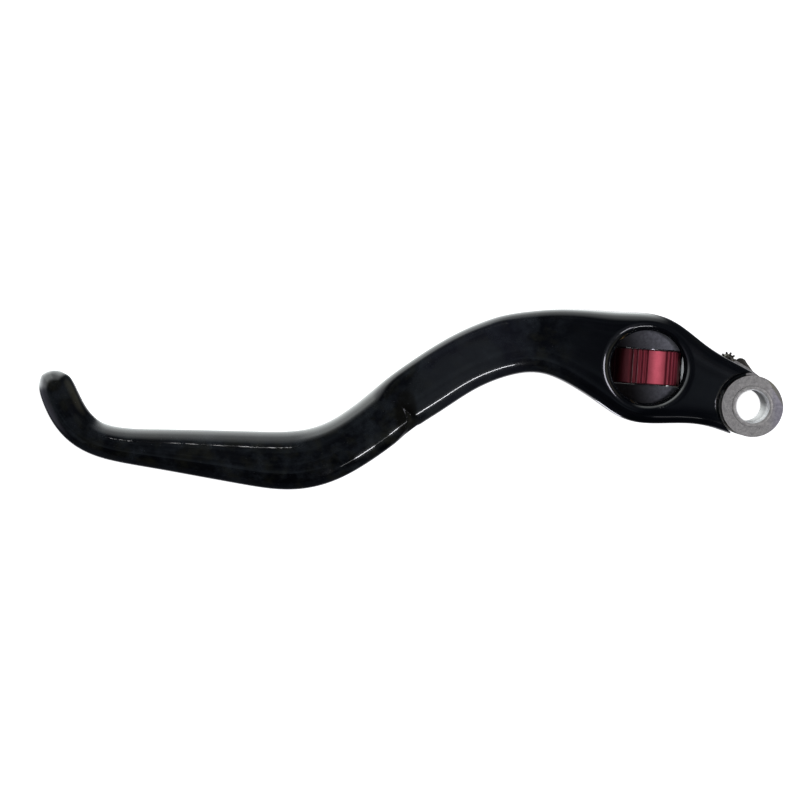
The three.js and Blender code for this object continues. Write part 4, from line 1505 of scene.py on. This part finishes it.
def build_world():
    """White low on the -X, +Y side and underneath, dark overhead and elsewhere."""
    world = bpy.data.worlds.new("studio")
    bpy.context.scene.world = world
    w = Nodes(world, "ShaderNodeOutputWorld", "Generated")
    axes = w.add("ShaderNodeSeparateXYZ")
    w.plug(w.pos, axes.inputs[0])
    x, y, z = axes.outputs
    level = w.radius(x, y)
    aim = math.radians(126)
    along = w.math("ADD", w.times(x, math.cos(aim)), w.times(y, math.sin(aim)))

    def sector(outer, inner):
        """Azimuths within so many degrees of the aim."""
        cosine = w.math("DIVIDE", along, w.math("MAXIMUM", level, 0.02))
        return w.step(cosine, math.cos(math.radians(outer)), math.cos(math.radians(inner)))

    def spot(azimuth, elevation, inner, outer):
        """A round patch with a soft edge between two angles from its centre."""
        dot = w.add("ShaderNodeVectorMath", operation="DOT_PRODUCT")
        dot.inputs[1].default_value = direction(azimuth, elevation)
        w.plug(w.pos, dot.inputs[0])
        start, end = math.cos(math.radians(outer)), math.cos(math.radians(inner))
        return w.step(dot.outputs["Value"], start, end)

    def glow(colour, mask):
        node = w.add("ShaderNodeVectorMath", operation="SCALE")
        w.plug(colour, node.inputs[0])
        w.plug(mask, node.inputs["Scale"])
        return node.outputs[0]

    low = w.step(w.math("SUBTRACT", level, w.times(z, 1.0)), start=0.0, end=0.85)
    side = sector(outer=66, inner=44)
    narrow = sector(outer=26, inner=12)
    cloud = w.step(w.noise(scale=2.6, detail=3, rough=0.6), start=0.42, end=0.68)
    parts = [
        # the white side, brighter towards the floor, with a brighter narrow sector in it
        glow((1.12, 1.17, 1.17), w.times(low, side)),
        glow((0.98, 1.02, 1.02), w.times(side, w.step(z, start=0.15, end=-0.35))),
        glow((1.05, 1.10, 1.08), w.times(narrow, w.step(z, start=0.50, end=0.30))),
        # straight down, then from -X and from +X
        glow((0.42, 0.42, 0.43), w.step(z, start=-0.80, end=-0.985)),
        glow((0.26, 0.26, 0.32), spot(azimuth=180, elevation=-8, inner=20, outer=45)),
        glow((0.26, 0.25, 0.17), spot(azimuth=0, elevation=-5, inner=25, outer=50)),
        # faint clouds overhead
        glow((0.085, 0.105, 0.120), w.times(cloud, w.step(z, start=0.0, end=0.5))),
    ]
    ambient = (0.016, 0.018, 0.024)
    total = parts[0]
    for part in parts[1:] + [ambient]:
        node = w.add("ShaderNodeVectorMath", operation="ADD")
        w.plug(total, node.inputs[0])
        w.plug(part, node.inputs[1])
        total = node.outputs[0]

    # the camera itself sees a plain near-white
    seen = w.add("ShaderNodeLightPath").outputs["Is Camera Ray"]
    background = w.add("ShaderNodeBackground")
    w.plug(w.mix(seen, total, (0.96, 0.96, 0.96)), background.inputs[0])
    w.plug(background.outputs[0], w.out.inputs[0])


def build_camera():
    """Looks straight down, with +Y up in the picture."""
    camera = bpy.data.cameras.new("camera")
    camera.sensor_width = 36
    camera.lens = 36 * CAMERA[2] / VIEW_WIDTH
    camera.clip_start, camera.clip_end = 0.01, 10
    camera.shift_y = -0.0875
    o = bpy.data.objects.new("camera", camera)
    o.location = Vector(CAMERA) + PIVOT
    bpy.context.scene.collection.objects.link(o)
    bpy.context.scene.camera = o
    bpy.context.scene.view_settings.view_transform = "Standard"


build_floor()
build_lamps()
build_flag()
build_world()
build_camera()

bpy.context.view_layer.update()
